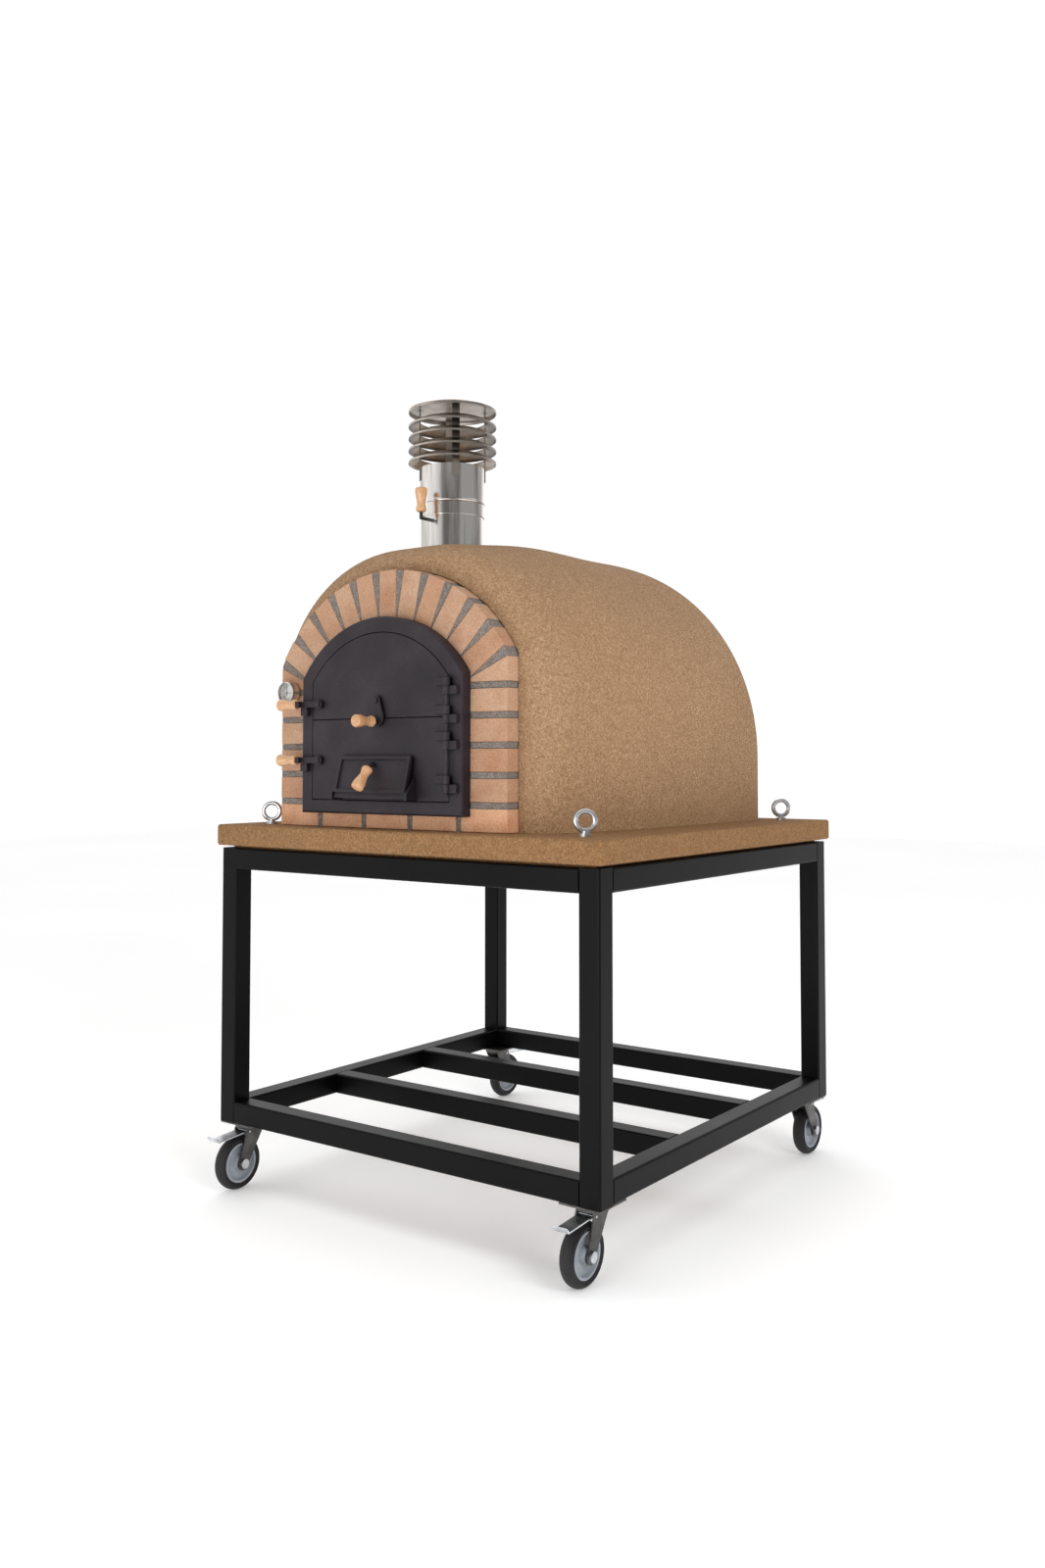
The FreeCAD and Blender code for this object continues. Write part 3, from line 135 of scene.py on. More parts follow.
def relief(tree, shader, height, strength, depth, normal=None):
    """Let a height pattern tilt the shader's normals; depth is the pattern's own, in metres."""
    bump = add(tree, "ShaderNodeBump", {"Height": height, "Strength": strength, "Distance": depth})
    if normal:
        tree.links.new(normal, bump.inputs["Normal"])
    tree.links.new(bump.outputs["Normal"], shader.inputs["Normal"])


def dress(material, *names):
    """Give CAD nodes a finish."""
    for name in names:
        nodes[name].data.materials.clear()
        nodes[name].data.materials.append(material)
    print(material.name, "on", ", ".join(names))


# %% [markdown]
# ## Three effects that finishes share
#
# Sprayed cork, mortar and firebrick are grains stuck together, so one node group makes grains: a Voronoi texture gives
# each grain its own shade and a rounded height. Cast iron, paint and steel are smoother, and one group of two noises
# gives them broad patches and a fine tooth. A third group finds nooks with an occlusion node, which measures how much
# open air a spot has, and the finishes use it to paint shade there. A group is built once and used with other scales.

# %% Shader groups
def new_group(kind, name, inputs, outputs):
    """An empty node group with its sockets, which are given as (name, kind) pairs."""
    group = bpy.data.node_groups.new(name, kind)
    for side, sockets in (("INPUT", inputs), ("OUTPUT", outputs)):
        for label, what in sockets:
            group.interface.new_socket(label, in_out=side, socket_type="NodeSocket" + what)
    return group, add(group, "NodeGroupInput").outputs, add(group, "NodeGroupOutput")


def build_grains():
    group, given, result = new_group("ShaderNodeTree", "grains", [("Vector", "Vector"), ("Scale", "Float")],
                                     [("Shade", "Float"), ("Height", "Float")])
    cells = add(group, "ShaderNodeTexVoronoi", {"Vector": given["Vector"], "Scale": given["Scale"]})
    split = add(group, "ShaderNodeSeparateColor", {"Color": cells.outputs["Color"]})
    dome = add(group, "ShaderNodeMapRange", {"Value": cells.outputs["Distance"], "From Max": 0.75,
                                             "To Min": 1.0, "To Max": 0.0})
    feed(group, result, {"Shade": split.outputs["Red"], "Height": dome.outputs["Result"]})
    return group


def build_tooth():
    group, given, result = new_group("ShaderNodeTree", "tooth", [("Vector", "Vector"), ("Patch Scale", "Float"),
                                                                 ("Tooth Scale", "Float")],
                                     [("Patch", "Float"), ("Tooth", "Float")])
    for label, detail in (("Patch", 4.0), ("Tooth", 2.0)):
        noise = add(group, "ShaderNodeTexNoise", {"Vector": given["Vector"], "Scale": given[label + " Scale"],
                                                  "Detail": detail})
        feed(group, result, {label: noise.outputs["Fac"]})
    return group


def build_nooks():
    group, given, result = new_group("ShaderNodeTree", "nooks", [("Depth", "Float")], [("Open", "Float")])
    air = add(group, "ShaderNodeAmbientOcclusion", {"Distance": given["Depth"]}, samples=8)
    feed(group, result, {"Open": air.outputs["AO"]})
    return group


GRAINS = build_grains()
TOOTH = build_tooth()
NOOKS = build_nooks()
print("shader groups:", GRAINS.name, TOOTH.name, NOOKS.name)


# %% Using the groups
def grains(tree, place, scale):
    """Grains, so many to the metre."""
    return add(tree, "ShaderNodeGroup", {"Vector": place, "Scale": scale}, node_tree=GRAINS).outputs


def tooth(tree, place, patch_scale, tooth_scale=400.0):
    """Broad patches and a fine tooth, so many to the metre."""
    inputs = {"Vector": place, "Patch Scale": patch_scale, "Tooth Scale": tooth_scale}
    return add(tree, "ShaderNodeGroup", inputs, node_tree=TOOTH).outputs


def with_painted_shade(tree, body, depth, *stops):
    """A colour pattern with painted shade in its nooks; the stops run from shut in to open."""
    nook = add(tree, "ShaderNodeGroup", {"Depth": depth}, node_tree=NOOKS).outputs["Open"]
    return stained(tree, body, ramp(tree, nook, *stops), strength=1.0)


# %% [markdown]
# ## Sprayed cork render
#
# The dome and the slab wear the same kind of coat: cork granules two to four millimetres across, sprayed on in a
# binder. A picture of it would tile and stretch over the dome. A Voronoi pattern on object coordinates has the same
# grain everywhere, so the coat is two sizes of grain, shaded from dark to light tan and raised by a bump. The slab's
# coat is given darker shades than the dome's, which is painted shade, so the same function makes both from their own
# shades.

# %% Cork coat
FINE_CORK, COARSE_CORK = 480.0, 260.0
CORK_STOPS = (0.12, 0.40, 0.62, 0.88)


def cork_render(name, *shades):
    material, tree, shader, place = finish(name, Roughness=0.92)
    fine = grains(tree, place, FINE_CORK)
    coarse = grains(tree, place, COARSE_CORK)
    drift = tooth(tree, place, patch_scale=2.2)
    mixed = blend(tree, fine["Shade"], coarse["Shade"], share=0.42)
    shade = blend(tree, mixed, drift["Patch"], share=0.25)
    colour(tree, shader, ramp(tree, shade, *zip(CORK_STOPS, shades)))
    height = maths(tree, "ADD", fine["Height"], coarse["Height"])
    relief(tree, shader, height, strength=0.75, depth=0.0016)
    return material


dress(cork_render("dome_cork", "#806142", "#9C7A58", "#AB8867", "#C4A481"), "outer_render")
# painted shade: the slab wears the dome's cork in darker shades
dress(cork_render("slab_cork_painted_shade", "#6F4E2D", "#88633D", "#956F48", "#AC855C"), "base_slab")

# %% [markdown]
# ## Bricks of the arch
#
# Fired bricks are never quite alike: each has its own shade, and its edges are a little round. The solids are sharp
# blocks, so a copy of them is bevelled, and a Geometry Nodes tree gives every block a random tone by its island, adds
# vertices and moves them by a slow noise. The tone is stored on the mesh, where the finish reads it. The lowest course
# is painted lighter, painted light against the shade that the door frame casts on it.

# %% Running Geometry Nodes
def geometry_tree(name, inputs):
    """An empty tree with a geometry in and out and named inputs for its sizes."""
    shape = ("Geometry", "Geometry")
    return new_group("GeometryNodeTree", name, [shape, *inputs], [shape])


def close_tree(tree, given, result, geometry):
    """End a tree with real geometry in its material."""
    whole = add(tree, "GeometryNodeRealizeInstances", {"Geometry": geometry})
    dressed = add(tree, "GeometryNodeSetMaterial", {"Geometry": whole.outputs["Geometry"],
                                                    "Material": given["Material"]})
    feed(tree, result, {"Geometry": dressed.outputs["Geometry"]})
    return tree


def grow(piece, tree, values):
    """Run a tree on a piece and keep the result as a plain mesh."""
    modifier = piece.modifiers.new(tree.name, "NODES")
    modifier.node_group = tree
    for item in tree.interface.items_tree:
        if item.in_out == "INPUT" and item.name in values:
            modifier[item.identifier] = values[item.name]
    bpy.context.view_layer.update()
    evaluated = piece.evaluated_get(bpy.context.evaluated_depsgraph_get())
    mesh = bpy.data.meshes.new_from_object(evaluated)
    piece.modifiers.clear()
    piece.data = mesh
    print(piece.name, "has", len(mesh.polygons), "faces")


def new_piece(name, mesh=None):
    """An object at the origin, with an empty mesh unless it is given one."""
    piece = bpy.data.objects.new(name, mesh or bpy.data.meshes.new(name))
    bpy.context.scene.collection.objects.link(piece)
    return piece


def stand_for(piece, body, slot, *replaced):
    """The piece rides a body and is shown in place of CAD nodes."""
    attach(piece, body)
    if replaced:
        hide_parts(*replaced)


# %% Geometry Nodes for worn blocks
def worn_blocks_tree():
    tree, given, result = geometry_tree("worn_blocks", [("Wear", "Float"), ("Wear Scale", "Float"), ("Seed", "Int"),
                                                        ("Material", "Material")])
    finer = add(tree, "GeometryNodeSubdivideMesh", {"Mesh": given["Geometry"], "Level": 2})
    where = add(tree, "GeometryNodeInputPosition").outputs["Position"]
    noise = add(tree, "ShaderNodeTexNoise", {"Vector": where, "Scale": given["Wear Scale"]}, noise_dimensions="3D")
    inwards = maths(tree, "MULTIPLY", maths(tree, "MULTIPLY", noise.outputs["Fac"], given["Wear"]), -1.0)
    facing = add(tree, "GeometryNodeInputNormal").outputs["Normal"]
    offset = add(tree, "ShaderNodeVectorMath", {0: facing, "Scale": inwards}, operation="SCALE").outputs["Vector"]
    moved = add(tree, "GeometryNodeSetPosition", {"Geometry": finer.outputs["Mesh"], "Offset": offset})
    island = add(tree, "GeometryNodeInputMeshIsland").outputs["Island Index"]
    tone = add(tree, "FunctionNodeRandomValue", {"ID": island, "Seed": given["Seed"]}, data_type="FLOAT")
    stored = add(tree, "GeometryNodeStoreNamedAttribute", {"Geometry": moved.outputs["Geometry"], "Name": "tone"},
                 data_type="FLOAT", domain="POINT")
    feed(tree, stored, {"Value": tone.outputs[1]})
    return close_tree(tree, given, result, stored.outputs["Geometry"])


# %% Brick finish
# painted light on the lowest course: its share, and the heights above the foot where it is full and where it is gone
FOOT_LIGHT_SHARE = 0.85
FOOT_LIGHT_FULL_M, FOOT_LIGHT_GONE_M = 0.04, 0.07


def painted_light_foot(tree, place, body):
    """A brick colour, painted lighter on the lowest course against the shade that the door frame casts."""
    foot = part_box("facade_bricks")[0].z
    level = add(tree, "ShaderNodeSeparateXYZ", {"Vector": place}).outputs["Z"]
    foot_light = add(tree, "ShaderNodeMapRange", {"Value": level, "From Min": foot + FOOT_LIGHT_FULL_M,
                                           "From Max": foot + FOOT_LIGHT_GONE_M, "To Min": FOOT_LIGHT_SHARE, "To Max": 0.0})
    # painted light: the lowest course blends towards a pale tan
    return add(tree, "ShaderNodeMix", {"Factor": foot_light.outputs["Result"], "A": body, "B": linear("#E6B48F")},
               data_type="RGBA").outputs["Result"]


def facing_brick():
    material, tree, shader, place = finish("facing_brick", Roughness=0.86)
    tone = add(tree, "ShaderNodeAttribute", attribute_name="tone").outputs["Fac"]
    fired = ramp(tree, tone, (0.05, "#BB9275"), (0.35, "#BE987B"), (0.65, "#C19D82"), (0.95, "#C5A488"))
    skin = tooth(tree, place, patch_scale=14.0, tooth_scale=420.0)
    pits = grains(tree, place, scale=240.0)
    grit = grains(tree, place, scale=800.0)
    dust = ramp(tree, skin["Patch"], (0.30, "#E2CCBB"), (0.55, "#FFFFFF"), (0.75, "#FFF5E9"))
    sand = ramp(tree, skin["Tooth"], (0.36, "#DCC9BB"), (0.58, "#FFFFFF"))
    specks = ramp(tree, grit["Shade"], (0.01, "#8F7867"), (0.06, "#FFFFFF"))
    dusted = stained(tree, painted_light_foot(tree, place, fired), dust, strength=0.6)
    sanded = stained(tree, dusted, sand, strength=0.7)
    colour(tree, shader, stained(tree, sanded, specks, strength=0.55))
    relief(tree, shader, maths(tree, "ADD", skin["Tooth"], pits["Height"]), strength=0.4, depth=0.0009)
    return material


# %% Bricks
BRICK_EDGE_M = 0.0025
BRICK_WEAR = {"Wear": 0.0014, "Wear Scale": 45.0, "Seed": 7}
JOIN_M = 1e-5
FLAT_WITHIN = math.radians(1)


def copy_of(name, node_name):
    """A copy of a CAD node's mesh with its loose triangles joined."""
    mesh = nodes[node_name].data.copy()
    work = bmesh.new()
    work.from_mesh(mesh)
    bmesh.ops.remove_doubles(work, verts=work.verts, dist=JOIN_M)
    bmesh.ops.dissolve_limit(work, angle_limit=FLAT_WITHIN, verts=work.verts, edges=work.edges)
    work.to_mesh(mesh)
    work.free()
    mesh.materials.clear()
    return new_piece(name, mesh)


def build_bricks():
    bricks = copy_of("arch_bricks", "facade_bricks")
    bevel = bricks.modifiers.new("round_edges", "BEVEL")
    bevel.width = BRICK_EDGE_M
    bevel.segments = 2
    bevel.limit_method = "ANGLE"
    grow(bricks, worn_blocks_tree(), {**BRICK_WEAR, "Material": facing_brick()})
    stand_for(bricks, "oven", "facing_brick", "facade_bricks")


build_bricks()

# %% [markdown]
# ## Mortar, firebrick and blanket
#
# Mortar is sand in lime, so it takes the grains group at a smaller scale, over soft grey blotches from the tooth
# group. The vault and the hearth behind the doors are pale firebrick, and the blanket between vault and render is a
# white mineral fleece that shows only where a layer ends.

# %% Masonry finishes
def sandy(name, grain, blotch, depth, *stops):
    """Grains over soft blotches, both so many to the metre; depth is the grains' own, in metres."""
    material, tree, shader, place = finish(name, Roughness=0.95)
    sand = grains(tree, place, grain)
    drift = tooth(tree, place, patch_scale=9.0, tooth_scale=blotch)
    soft = blend(tree, drift["Patch"], drift["Tooth"], share=0.65)
    colour(tree, shader, ramp(tree, blend(tree, soft, sand["Shade"], share=0.4), *stops))
    relief(tree, shader, sand["Height"], strength=0.6, depth=depth)
    return material


dress(sandy("lime_mortar", 900.0, 210.0, 0.0008, (0.28, "#514944"), (0.5, "#796F68"), (0.72, "#9D938B")),
      "facade_mortar")
dress(sandy("firebrick", 700.0, 120.0, 0.0005, (0.28, "#A98458"), (0.5, "#C3A074"), (0.72, "#D6B98F")),
      "brick_vault", "hearth_tiles")
dress(sandy("mineral_fleece", 600.0, 90.0, 0.0020, (0.28, "#CFCCC2"), (0.72, "#EDEBE4")), "insulation_blanket")

# %% [markdown]
# ## Cast iron
#
# The door frame, the doors and their levers are sand-cast iron under stove blacking: a dull satin with a fine tooth
# from the mould, and broad patches where the blacking has rubbed thinner. Shade is painted darker around the leaves,
# behind the levers and under the hinge knuckles, where the occlusion group finds nooks. A casting has no sharp edges,
# so a bevel node rounds the normals there and the edges catch the light.

# %% Stove-black iron
IRON_NOOK_M = 0.014
IRON_EDGE_M = 0.003


def cast_iron():
    material, tree, shader, place = finish("stove_black", Specular_IOR_Level=0.35)
    skin = tooth(tree, place, patch_scale=11.0, tooth_scale=650.0)
    mottle = blend(tree, skin["Patch"], skin["Tooth"], share=0.55)
    blacking = ramp(tree, mottle, (0.32, "#151015"), (0.50, "#211A20"), (0.68, "#382F36"))
    # painted shade: the occlusion group darkens the blacking around the leaves, behind the levers and under the
    # knuckles
    colour(tree, shader, with_painted_shade(tree, blacking, IRON_NOOK_M, (0.30, "#1C1819"), (0.80, "#FFFFFF")))
    feed(tree, shader, {"Roughness": spread(tree, skin["Patch"], 0.40, 0.58)})
    soft_edges = add(tree, "ShaderNodeBevel", {"Radius": IRON_EDGE_M}, samples=6).outputs["Normal"]
    relief(tree, shader, skin["Tooth"], strength=0.35, depth=0.0006, normal=soft_edges)
    return material


dress(cast_iron(), "door_frame", "latch_keepers", "lower_door", "upper_door", "upper_latch", "lower_latch",
      "peephole_cover", "draught_flap", "hinge_pin", "upper_door_pivots", "lower_door_pivot")

# %% [markdown]
# ## Turned wooden knobs
#
# The five knobs are turned from pale beech and varnished. The solids give each knob its place, its length and its
# girth, and leave out the fine profile: a thin collar, a neck, and a swelling up to a flat end. A Geometry Nodes tree
# works as a lathe does, with a cylinder of many rings whose radius follows a curve along its length. Beech shows short
# flecks along the grain more than rings, so the finish stretches a noise along each knob and adds a clear coat.

# %% Varnished beech
def beech(name, stretch):
    material, tree, shader, place = finish(name, Roughness=0.38, Coat_Weight=0.35, Coat_Roughness=0.15)
    along = add(tree, "ShaderNodeMapping", {"Vector": place, "Scale": stretch}).outputs["Vector"]
    fleck = tooth(tree, along, patch_scale=60.0, tooth_scale=260.0)
    shade = blend(tree, fleck["Patch"], fleck["Tooth"], share=0.45)
    colour(tree, shader, ramp(tree, shade, (0.30, "#B3835A"), (0.50, "#C9996E"), (0.70, "#D9B38C")))
    relief(tree, shader, fleck["Tooth"], strength=0.08, depth=0.0004)
    return material


# %% Lathe
KNOB_SIDES, KNOB_RINGS = 48, 48
KNOB_PROFILE = ((0.0, 0.60), (0.03, 0.78), (0.09, 0.88), (0.17, 0.84), (0.26, 0.73), (0.35, 0.70), (0.48, 0.75),
                (0.63, 0.88), (0.77, 0.98), (0.87, 1.0), (0.95, 0.98), (0.985, 0.92), (1.0, 0.80))


def knob_profile(tree, share):
    """The knob's radius along its length, both as shares of the whole."""
    curve = add(tree, "ShaderNodeFloatCurve", {"Value": share})
    points = curve.mapping.curves[0].points
    points[0].location, points[-1].location = KNOB_PROFILE[0], KNOB_PROFILE[-1]
    for stop in KNOB_PROFILE[1:-1]:
        points.new(*stop)
    curve.mapping.update()
    return curve.outputs["Value"]


def lathe_tree():
    tree, given, result = geometry_tree("knob_lathe", [("Length", "Float"), ("Radius", "Float"), ("Base", "Vector"),
                                                       ("Turn", "Vector"), ("Material", "Material")])
    blank = add(tree, "GeometryNodeMeshCylinder", {"Vertices": KNOB_SIDES, "Side Segments": KNOB_RINGS,
                                                   "Radius": 1.0, "Depth": 1.0})
    where = add(tree, "GeometryNodeInputPosition").outputs["Position"]
    place = add(tree, "ShaderNodeSeparateXYZ", {"Vector": where}).outputs
    share = maths(tree, "ADD", place["Z"], 0.5)
    girth = maths(tree, "MULTIPLY", knob_profile(tree, share), given["Radius"])
    spot = add(tree, "ShaderNodeCombineXYZ", {"X": maths(tree, "MULTIPLY", place["X"], girth),
                                              "Y": maths(tree, "MULTIPLY", place["Y"], girth),
                                              "Z": maths(tree, "MULTIPLY", share, given["Length"])})
    shaped = add(tree, "GeometryNodeSetPosition", {"Geometry": blank.outputs["Mesh"],
                                                   "Position": spot.outputs["Vector"]})
    smooth = add(tree, "GeometryNodeSetShadeSmooth", {"Geometry": shaped.outputs["Geometry"]})
    seated = add(tree, "GeometryNodeTransform", {"Geometry": smooth.outputs["Geometry"],
                                                 "Translation": given["Base"], "Rotation": given["Turn"]})
    return close_tree(tree, given, result, seated.outputs["Geometry"])


# %% Knobs
FLAP_KNOB_DOWN = math.radians(50.0)
GRAIN_STRETCH = 0.25


def reach(points, way):
    """How far points lie along a direction: the nearest and the farthest."""
    spots = [point.dot(way) for point in points]
    return min(spots), max(spots)


def turn_knob(tree, node_name, body, way, wood):
    """A turned knob in the place of a CAD knob that points the given way."""
    way = Vector(way).normalized()
    side = way.orthogonal().normalized()
    points = [vertex.co for vertex in nodes[node_name].data.vertices]
    near, far = reach(points, way)
    base = way * near
    for across in (side, way.cross(side)):
        base += across * sum(reach(points, across)) / 2
    low, high = reach(points, side)
    knob = new_piece("turned_" + node_name)
    grow(knob, tree, {"Length": far - near, "Radius": (high - low) / 2, "Base": base,
                      "Turn": Vector(way.to_track_quat("Z", "Y").to_euler()), "Material": wood})
    stand_for(knob, body, "knob_wood", node_name)


def build_knobs():
    lathe = lathe_tree()
    crosswise = beech("beech_crosswise", (GRAIN_STRETCH, 1.0, 1.0))
    forwards = beech("beech_forwards", (1.0, GRAIN_STRETCH, 1.0))
    upright = beech("beech_upright", (1.0, 1.0, GRAIN_STRETCH))
    down = (0.0, -math.cos(FLAP_KNOB_DOWN), -math.sin(FLAP_KNOB_DOWN))
    turn_knob(lathe, "upper_latch_knob", "upper_latch_lever", (-1.0, 0.0, 0.0), crosswise)
    turn_knob(lathe, "lower_latch_knob", "lower_latch_lever", (-1.0, 0.0, 0.0), crosswise)
    turn_knob(lathe, "peephole_knob", "peephole_shutter", (0.0, -1.0, 0.0), forwards)
    turn_knob(lathe, "draught_knob", "draught_shutter", down, upright)
    turn_knob(lathe, "damper_knob", "damper_blade", (0.0, 0.0, 1.0), upright)


build_knobs()

# %% [markdown]
# ## Steel: painted, stainless and zinc
#
# The trolley is square tube under black semi-gloss paint, with the faint waviness of a brush or a spray gun. The flue
# is thin stainless sheet, drawn along its length. The cowl on top of it has been browned by smoke, and painted shade
# darkens it between its rings. Castor forks and lifting eyes are zinc, which is patchy and a little duller; the forks,
# their top plates and the damper take a darker zinc, which on the forks and plates is painted shade. Each is a smooth
# metal with its own patches, so the tooth group serves them all.

# %% Steel finishes
# painted shade between the cowl rings: how far the occlusion group looks, and its colours from shut in to open
RING_SHADE_M = 0.03
RING_SHADE_STOPS = ((0.35, "#3B3531"), (0.90, "#FFFFFF"))


def black_paint():
    material, tree, shader, place = finish("black_paint", IOR=1.22)
    skin = tooth(tree, place, patch_scale=5.0, tooth_scale=300.0)
    colour(tree, shader, ramp(tree, skin["Patch"], (0.3, "#030304"), (0.7, "#080708")))
    feed(tree, shader, {"Roughness": spread(tree, skin["Patch"], 0.30, 0.46)})
    relief(tree, shader, skin["Tooth"], strength=0.06, depth=0.0006)
    return material


def bright_steel(name, patch_scale, rough, *stops, drawn=1.0, shaded_gaps=False):
    """Bare metal; the smaller drawn is, the more its patches become long upright streaks."""
    material, tree, shader, place = finish(name, Metallic=1.0)
    along = add(tree, "ShaderNodeMapping", {"Vector": place, "Scale": (1.0, 1.0, drawn)}).outputs["Vector"]
    skin = tooth(tree, along, patch_scale, tooth_scale=500.0)
    body = ramp(tree, skin["Patch"], *stops)
    # painted shade: the occlusion group can darken the metal in nooks, such as the gaps between the cowl rings
    colour(tree, shader, with_painted_shade(tree, body, RING_SHADE_M, *RING_SHADE_STOPS) if shaded_gaps else body)
    feed(tree, shader, {"Roughness": spread(tree, skin["Tooth"], *rough)})
    relief(tree, shader, skin["Tooth"], strength=0.05, depth=0.0003)
    return material


# %% Steel on the trolley, the flue and the fittings
CORNERS = ("front_left", "front_right", "rear_left", "rear_right")


def at_corners(name):
    """The names of a castor's piece at all four corners."""
    return [corner + "_" + name for corner in CORNERS]


dress(black_paint(), "frame_legs", "top_rails", "bottom_rails", "shelf_bars")
dress(bright_steel("stainless_sheet", 34.0, (0.12, 0.22), (0.40, "#A39D98"), (0.60, "#F6F2EE"), drawn=0.06),
      "flue_pipe", "damper_pipe", "thermometer_case")
# smoke-browned steel, with painted shade between the cowl rings
dress(bright_steel("smoked_and_shaded_sheet", 30.0, (0.24, 0.40), (0.3, "#A1978D"), (0.7, "#C9C0B6"), drawn=0.3, shaded_gaps=True),
      "cowl_rings", "cowl_cap", "cowl_straps")
dress(bright_steel("bright_zinc", 40.0, (0.22, 0.38), (0.3, "#B2B5B9"), (0.7, "#E6E9EC")),
      "eye_bolts", *at_corners("brake_pedal"), *at_corners("axle"))
# painted shade: a darker zinc for the forks and top plates, which sit in shade; the damper wears it too
dress(bright_steel("darker_zinc_painted_shade", 40.0, (0.34, 0.52), (0.3, "#4E4D4C"), (0.7, "#6E6D6C")),
      "castor_top_plates", "damper", *at_corners("fork"))

# %% [markdown]
# ## Wheels
#
# A castor's wheel is a grey moulded core with a black rubber tyre. Both are dull, and the tyre is the duller, so one
# function makes both from a roughness and two shades.

# %% Rubber and moulded core
ROUGH_EITHER_WAY = 0.08


def moulded(name, rough, *stops):
    material, tree, shader, place = finish(name)
    skin = tooth(tree, place, patch_scale=25.0, tooth_scale=600.0)
    colour(tree, shader, ramp(tree, skin["Patch"], *stops))
    roughness = spread(tree, skin["Patch"], rough - ROUGH_EITHER_WAY, rough + ROUGH_EITHER_WAY)
    feed(tree, shader, {"Roughness": roughness})
    relief(tree, shader, skin["Tooth"], strength=0.10, depth=0.0004)
    return material


dress(moulded("black_rubber", 0.66, (0.3, "#100E10"), (0.7, "#1D1A1C")), *at_corners("tyre"))
dress(moulded("grey_core", 0.5, (0.3, "#868B93"), (0.7, "#A0A5AD")), *at_corners("wheel_core"))

# %% [markdown]
# ## Dial thermometer
#
# The dial is a pale disc behind glass with a dark hand. Its marks sit evenly on an arc, which is a rule, so a Geometry
# Nodes tree places them: points around the arc, a thin block on each, every fifth one longer.

# %% Dial finishes
def dial_glass():
    material, tree, shader, place = finish("dial_glass", Alpha=0.08, IOR=1.45)
    skin = tooth(tree, place, patch_scale=20.0)
    colour(tree, shader, ramp(tree, skin["Patch"], (0.3, "#F4F7F7"), (0.7, "#FFFFFF")))
    feed(tree, shader, {"Roughness": spread(tree, skin["Patch"], 0.01, 0.05)})
    return material


INK = moulded("dial_ink", 0.5, (0.3, "#151515"), (0.7, "#232323"))
dress(moulded("dial_card", 0.6, (0.3, "#F6F4F2"), (0.7, "#FFFFFF")), "thermometer_dial")
dress(INK, "thermometer_needle")
dress(dial_glass(), "thermometer_lens")

# %% Geometry Nodes for dial marks
MARK_COUNT, MARKS_TO_A_LONG_ONE = 31, 5.0
MARK_BLOCK = (1.0, 0.3, 1.0)


def marks_tree():
    tree, given, result = geometry_tree("dial_marks", [
        ("Count", "Int"), ("Radius", "Float"), ("Long", "Float"), ("Short", "Float"), ("Width", "Float"),
        ("Middle", "Vector"), ("Sweep", "Float"), ("Material", "Material")])
    points = add(tree, "GeometryNodePoints", {"Count": given["Count"]}).outputs["Points"]
    number = add(tree, "GeometryNodeInputIndex").outputs["Index"]
    share = maths(tree, "DIVIDE", number, maths(tree, "SUBTRACT", given["Count"], 1.0))
    turn = maths(tree, "MULTIPLY", maths(tree, "SUBTRACT", share, 0.5), given["Sweep"])
    outwards = add(tree, "ShaderNodeCombineXYZ", {"X": maths(tree, "SINE", turn), "Z": maths(tree, "COSINE", turn)})
    spot = add(tree, "ShaderNodeVectorMath", {0: outwards.outputs["Vector"], "Scale": given["Radius"]},
               operation="SCALE")
    placed = add(tree, "ShaderNodeVectorMath", {0: spot.outputs["Vector"], 1: given["Middle"]}, operation="ADD")
    arc = add(tree, "GeometryNodeSetPosition", {"Geometry": points, "Position": placed.outputs["Vector"]})
    is_long = maths(tree, "LESS_THAN", maths(tree, "MODULO", number, MARKS_TO_A_LONG_ONE), 0.5)
    extra = maths(tree, "MULTIPLY", maths(tree, "SUBTRACT", given["Long"], given["Short"]), is_long)
    scale = add(tree, "ShaderNodeCombineXYZ", {"X": given["Width"], "Y": given["Width"],
                                               "Z": maths(tree, "ADD", extra, given["Short"])})
    lean = add(tree, "ShaderNodeCombineXYZ", {"Y": turn})
    block = add(tree, "GeometryNodeMeshCube", {"Size": MARK_BLOCK})
    marks = add(tree, "GeometryNodeInstanceOnPoints", {
        "Points": arc.outputs["Geometry"], "Instance": block.outputs["Mesh"], "Rotation": lean.outputs["Vector"],
        "Scale": scale.outputs["Vector"]})
    return close_tree(tree, given, result, marks.outputs["Instances"])


# %% Dial marks
MARK_RING, LONG_MARK, SHORT_MARK = 0.86, 0.18, 0.08
MARK_WIDTH_M = 0.0004
DIAL_SWEEP = math.radians(290)


def build_marks():
    """The marks on the dial; their ring and their lengths are shares of its radius."""
    low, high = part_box("thermometer_dial")
    radius = (high.x - low.x) / 2
    middle = Vector(((low.x + high.x) / 2, low.y, (low.z + high.z) / 2))
    marks = new_piece("dial_marks")
    grow(marks, marks_tree(), {"Count": MARK_COUNT, "Radius": radius * MARK_RING, "Long": radius * LONG_MARK,
                               "Short": radius * SHORT_MARK, "Width": MARK_WIDTH_M, "Middle": middle,
                               "Sweep": DIAL_SWEEP, "Material": INK})
    stand_for(marks, "oven", "dial_needle")


build_marks()

# %% [markdown]
# ## Stage, light and camera
#
# A pale floor and a white sky give the soft light of a studio cove. A broad light from above makes the soft shadow on
# the floor, one lamp stands to the right of the camera and a weaker one to the left. The strong lamp's disc is kept out
# of reflections, where it would cut the bright flue in two. The camera stands where the photograph was taken from: to
# the right of the front, at chest height, tilted up a little and shifted to the same framing.

# %% Floor
FLOOR_REACH_M = 14.0


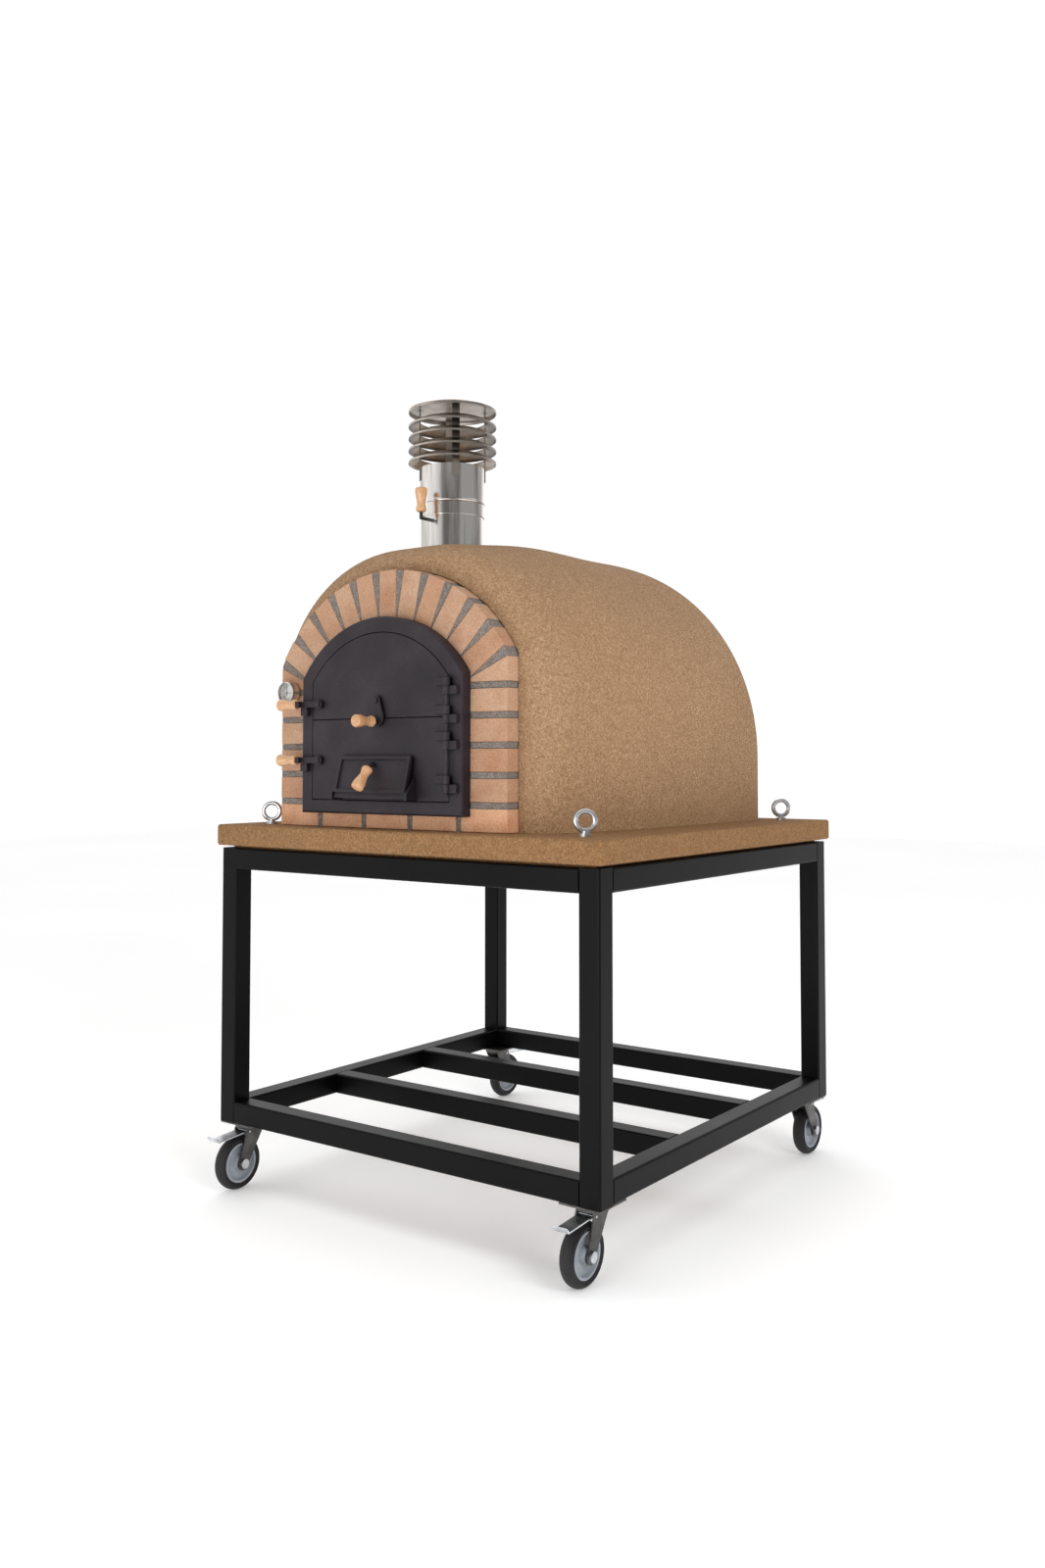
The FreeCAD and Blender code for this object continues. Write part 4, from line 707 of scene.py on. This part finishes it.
def pale_floor():
    material, tree, shader, place = finish("pale_floor", Roughness=0.9, Emission_Strength=0.18)
    drift = tooth(tree, place, patch_scale=0.6)
    colour(tree, shader, ramp(tree, drift["Patch"], (0.3, "#F8F8F8"), (0.7, "#FCFCFC")))
    far = FLOOR_REACH_M
    mesh = bpy.data.meshes.new("floor")
    mesh.from_pydata([(-far, -far, 0), (far, -far, 0), (far, far, 0), (-far, far, 0)], [], [(0, 1, 2, 3)])
    mesh.materials.append(material)
    floor = new_piece("floor", mesh)
    print("floor", 2 * far, "m wide")


pale_floor()

# %% Sky
BRIGHT_SIDE = (-0.94, 0.34, 0.0)
DIM_FROM, BRIGHT_FROM = -0.5, 0.45
DIMMEST, BACKDROP = 0.30, 1.05


def studio_sky():
    """Light that is white from the left and behind the oven and dimmer from the right, before a white backdrop."""
    world = bpy.data.worlds.new("studio")
    bpy.context.scene.world = world
    world.use_nodes = True
    tree = world.node_tree
    way = add(tree, "ShaderNodeTexCoord").outputs["Generated"]
    along = add(tree, "ShaderNodeVectorMath", {0: way, 1: BRIGHT_SIDE}, operation="DOT_PRODUCT")
    cove = add(tree, "ShaderNodeMapRange", {"Value": along.outputs["Value"], "From Min": DIM_FROM,
                                            "From Max": BRIGHT_FROM, "To Min": DIMMEST, "To Max": BACKDROP})
    seen = add(tree, "ShaderNodeLightPath").outputs["Is Camera Ray"]
    strength = blend(tree, cove.outputs["Result"], BACKDROP, share=seen)
    feed(tree, tree.nodes["Background"], {"Color": (1.0, 1.0, 1.0, 1.0), "Strength": strength})
    print("sky strength", DIMMEST, "to", BACKDROP)


studio_sky()

# %% Lamps
LAMP_AIM = Vector((0, 0, 0.9))


def hang(name, data, way):
    """A light that shines the given way."""
    item = bpy.data.objects.new(name, data)
    item.rotation_euler = way.to_track_quat("-Z", "Y").to_euler()
    bpy.context.scene.collection.objects.link(item)
    print("light", name)
    return item


def lamp(name, where, size, power, mirrored):
    """A round lamp aimed at the oven; metal shows its disc only where mirrored says so."""
    data = bpy.data.lights.new(name, "AREA")
    data.shape = "DISK"
    data.size = size
    data.energy = power
    item = hang(name, data, LAMP_AIM - Vector(where))
    item.location = where
    item.visible_glossy = mirrored


def overhead(strength, spread_degrees, way):
    """Broad light from above, which makes the soft shadow under the trolley."""
    data = bpy.data.lights.new("overhead", "SUN")
    data.energy = strength
    data.angle = math.radians(spread_degrees)
    hang("overhead", data, Vector(way))


overhead(strength=0.45, spread_degrees=70, way=(0.12, -0.20, -1.0))
lamp("key", where=(4.0, -1.6, 2.6), size=2.4, power=100, mirrored=False)
lamp("fill", where=(0.3, -3.0, 0.5), size=2.2, power=30, mirrored=True)
bpy.context.scene.view_settings.view_transform = "Standard"

# %% Camera
PHOTO_HEIGHT_PX = 1600
FOCAL_PX = 1314.4
SENSOR_MM = 36.0
CAMERA_PLACE = (1.887, -2.635, 1.011)
YAW_DEGREES = 36.0
PITCH_DEGREES = 2.42
SHIFT_RIGHT, SHIFT_UP = -0.0021, -0.0488

camera_data = bpy.data.cameras.new("photo_camera")
camera_data.sensor_width = SENSOR_MM
camera_data.lens = FOCAL_PX * SENSOR_MM / PHOTO_HEIGHT_PX
camera_data.shift_x = SHIFT_RIGHT
camera_data.shift_y = SHIFT_UP
camera = bpy.data.objects.new("photo_camera", camera_data)
camera.location = CAMERA_PLACE
camera.rotation_euler = Euler((math.radians(90 + PITCH_DEGREES), 0, math.radians(YAW_DEGREES)))
bpy.context.scene.collection.objects.link(camera)
bpy.context.scene.camera = camera
print("camera lens", round(camera_data.lens, 2), "mm")
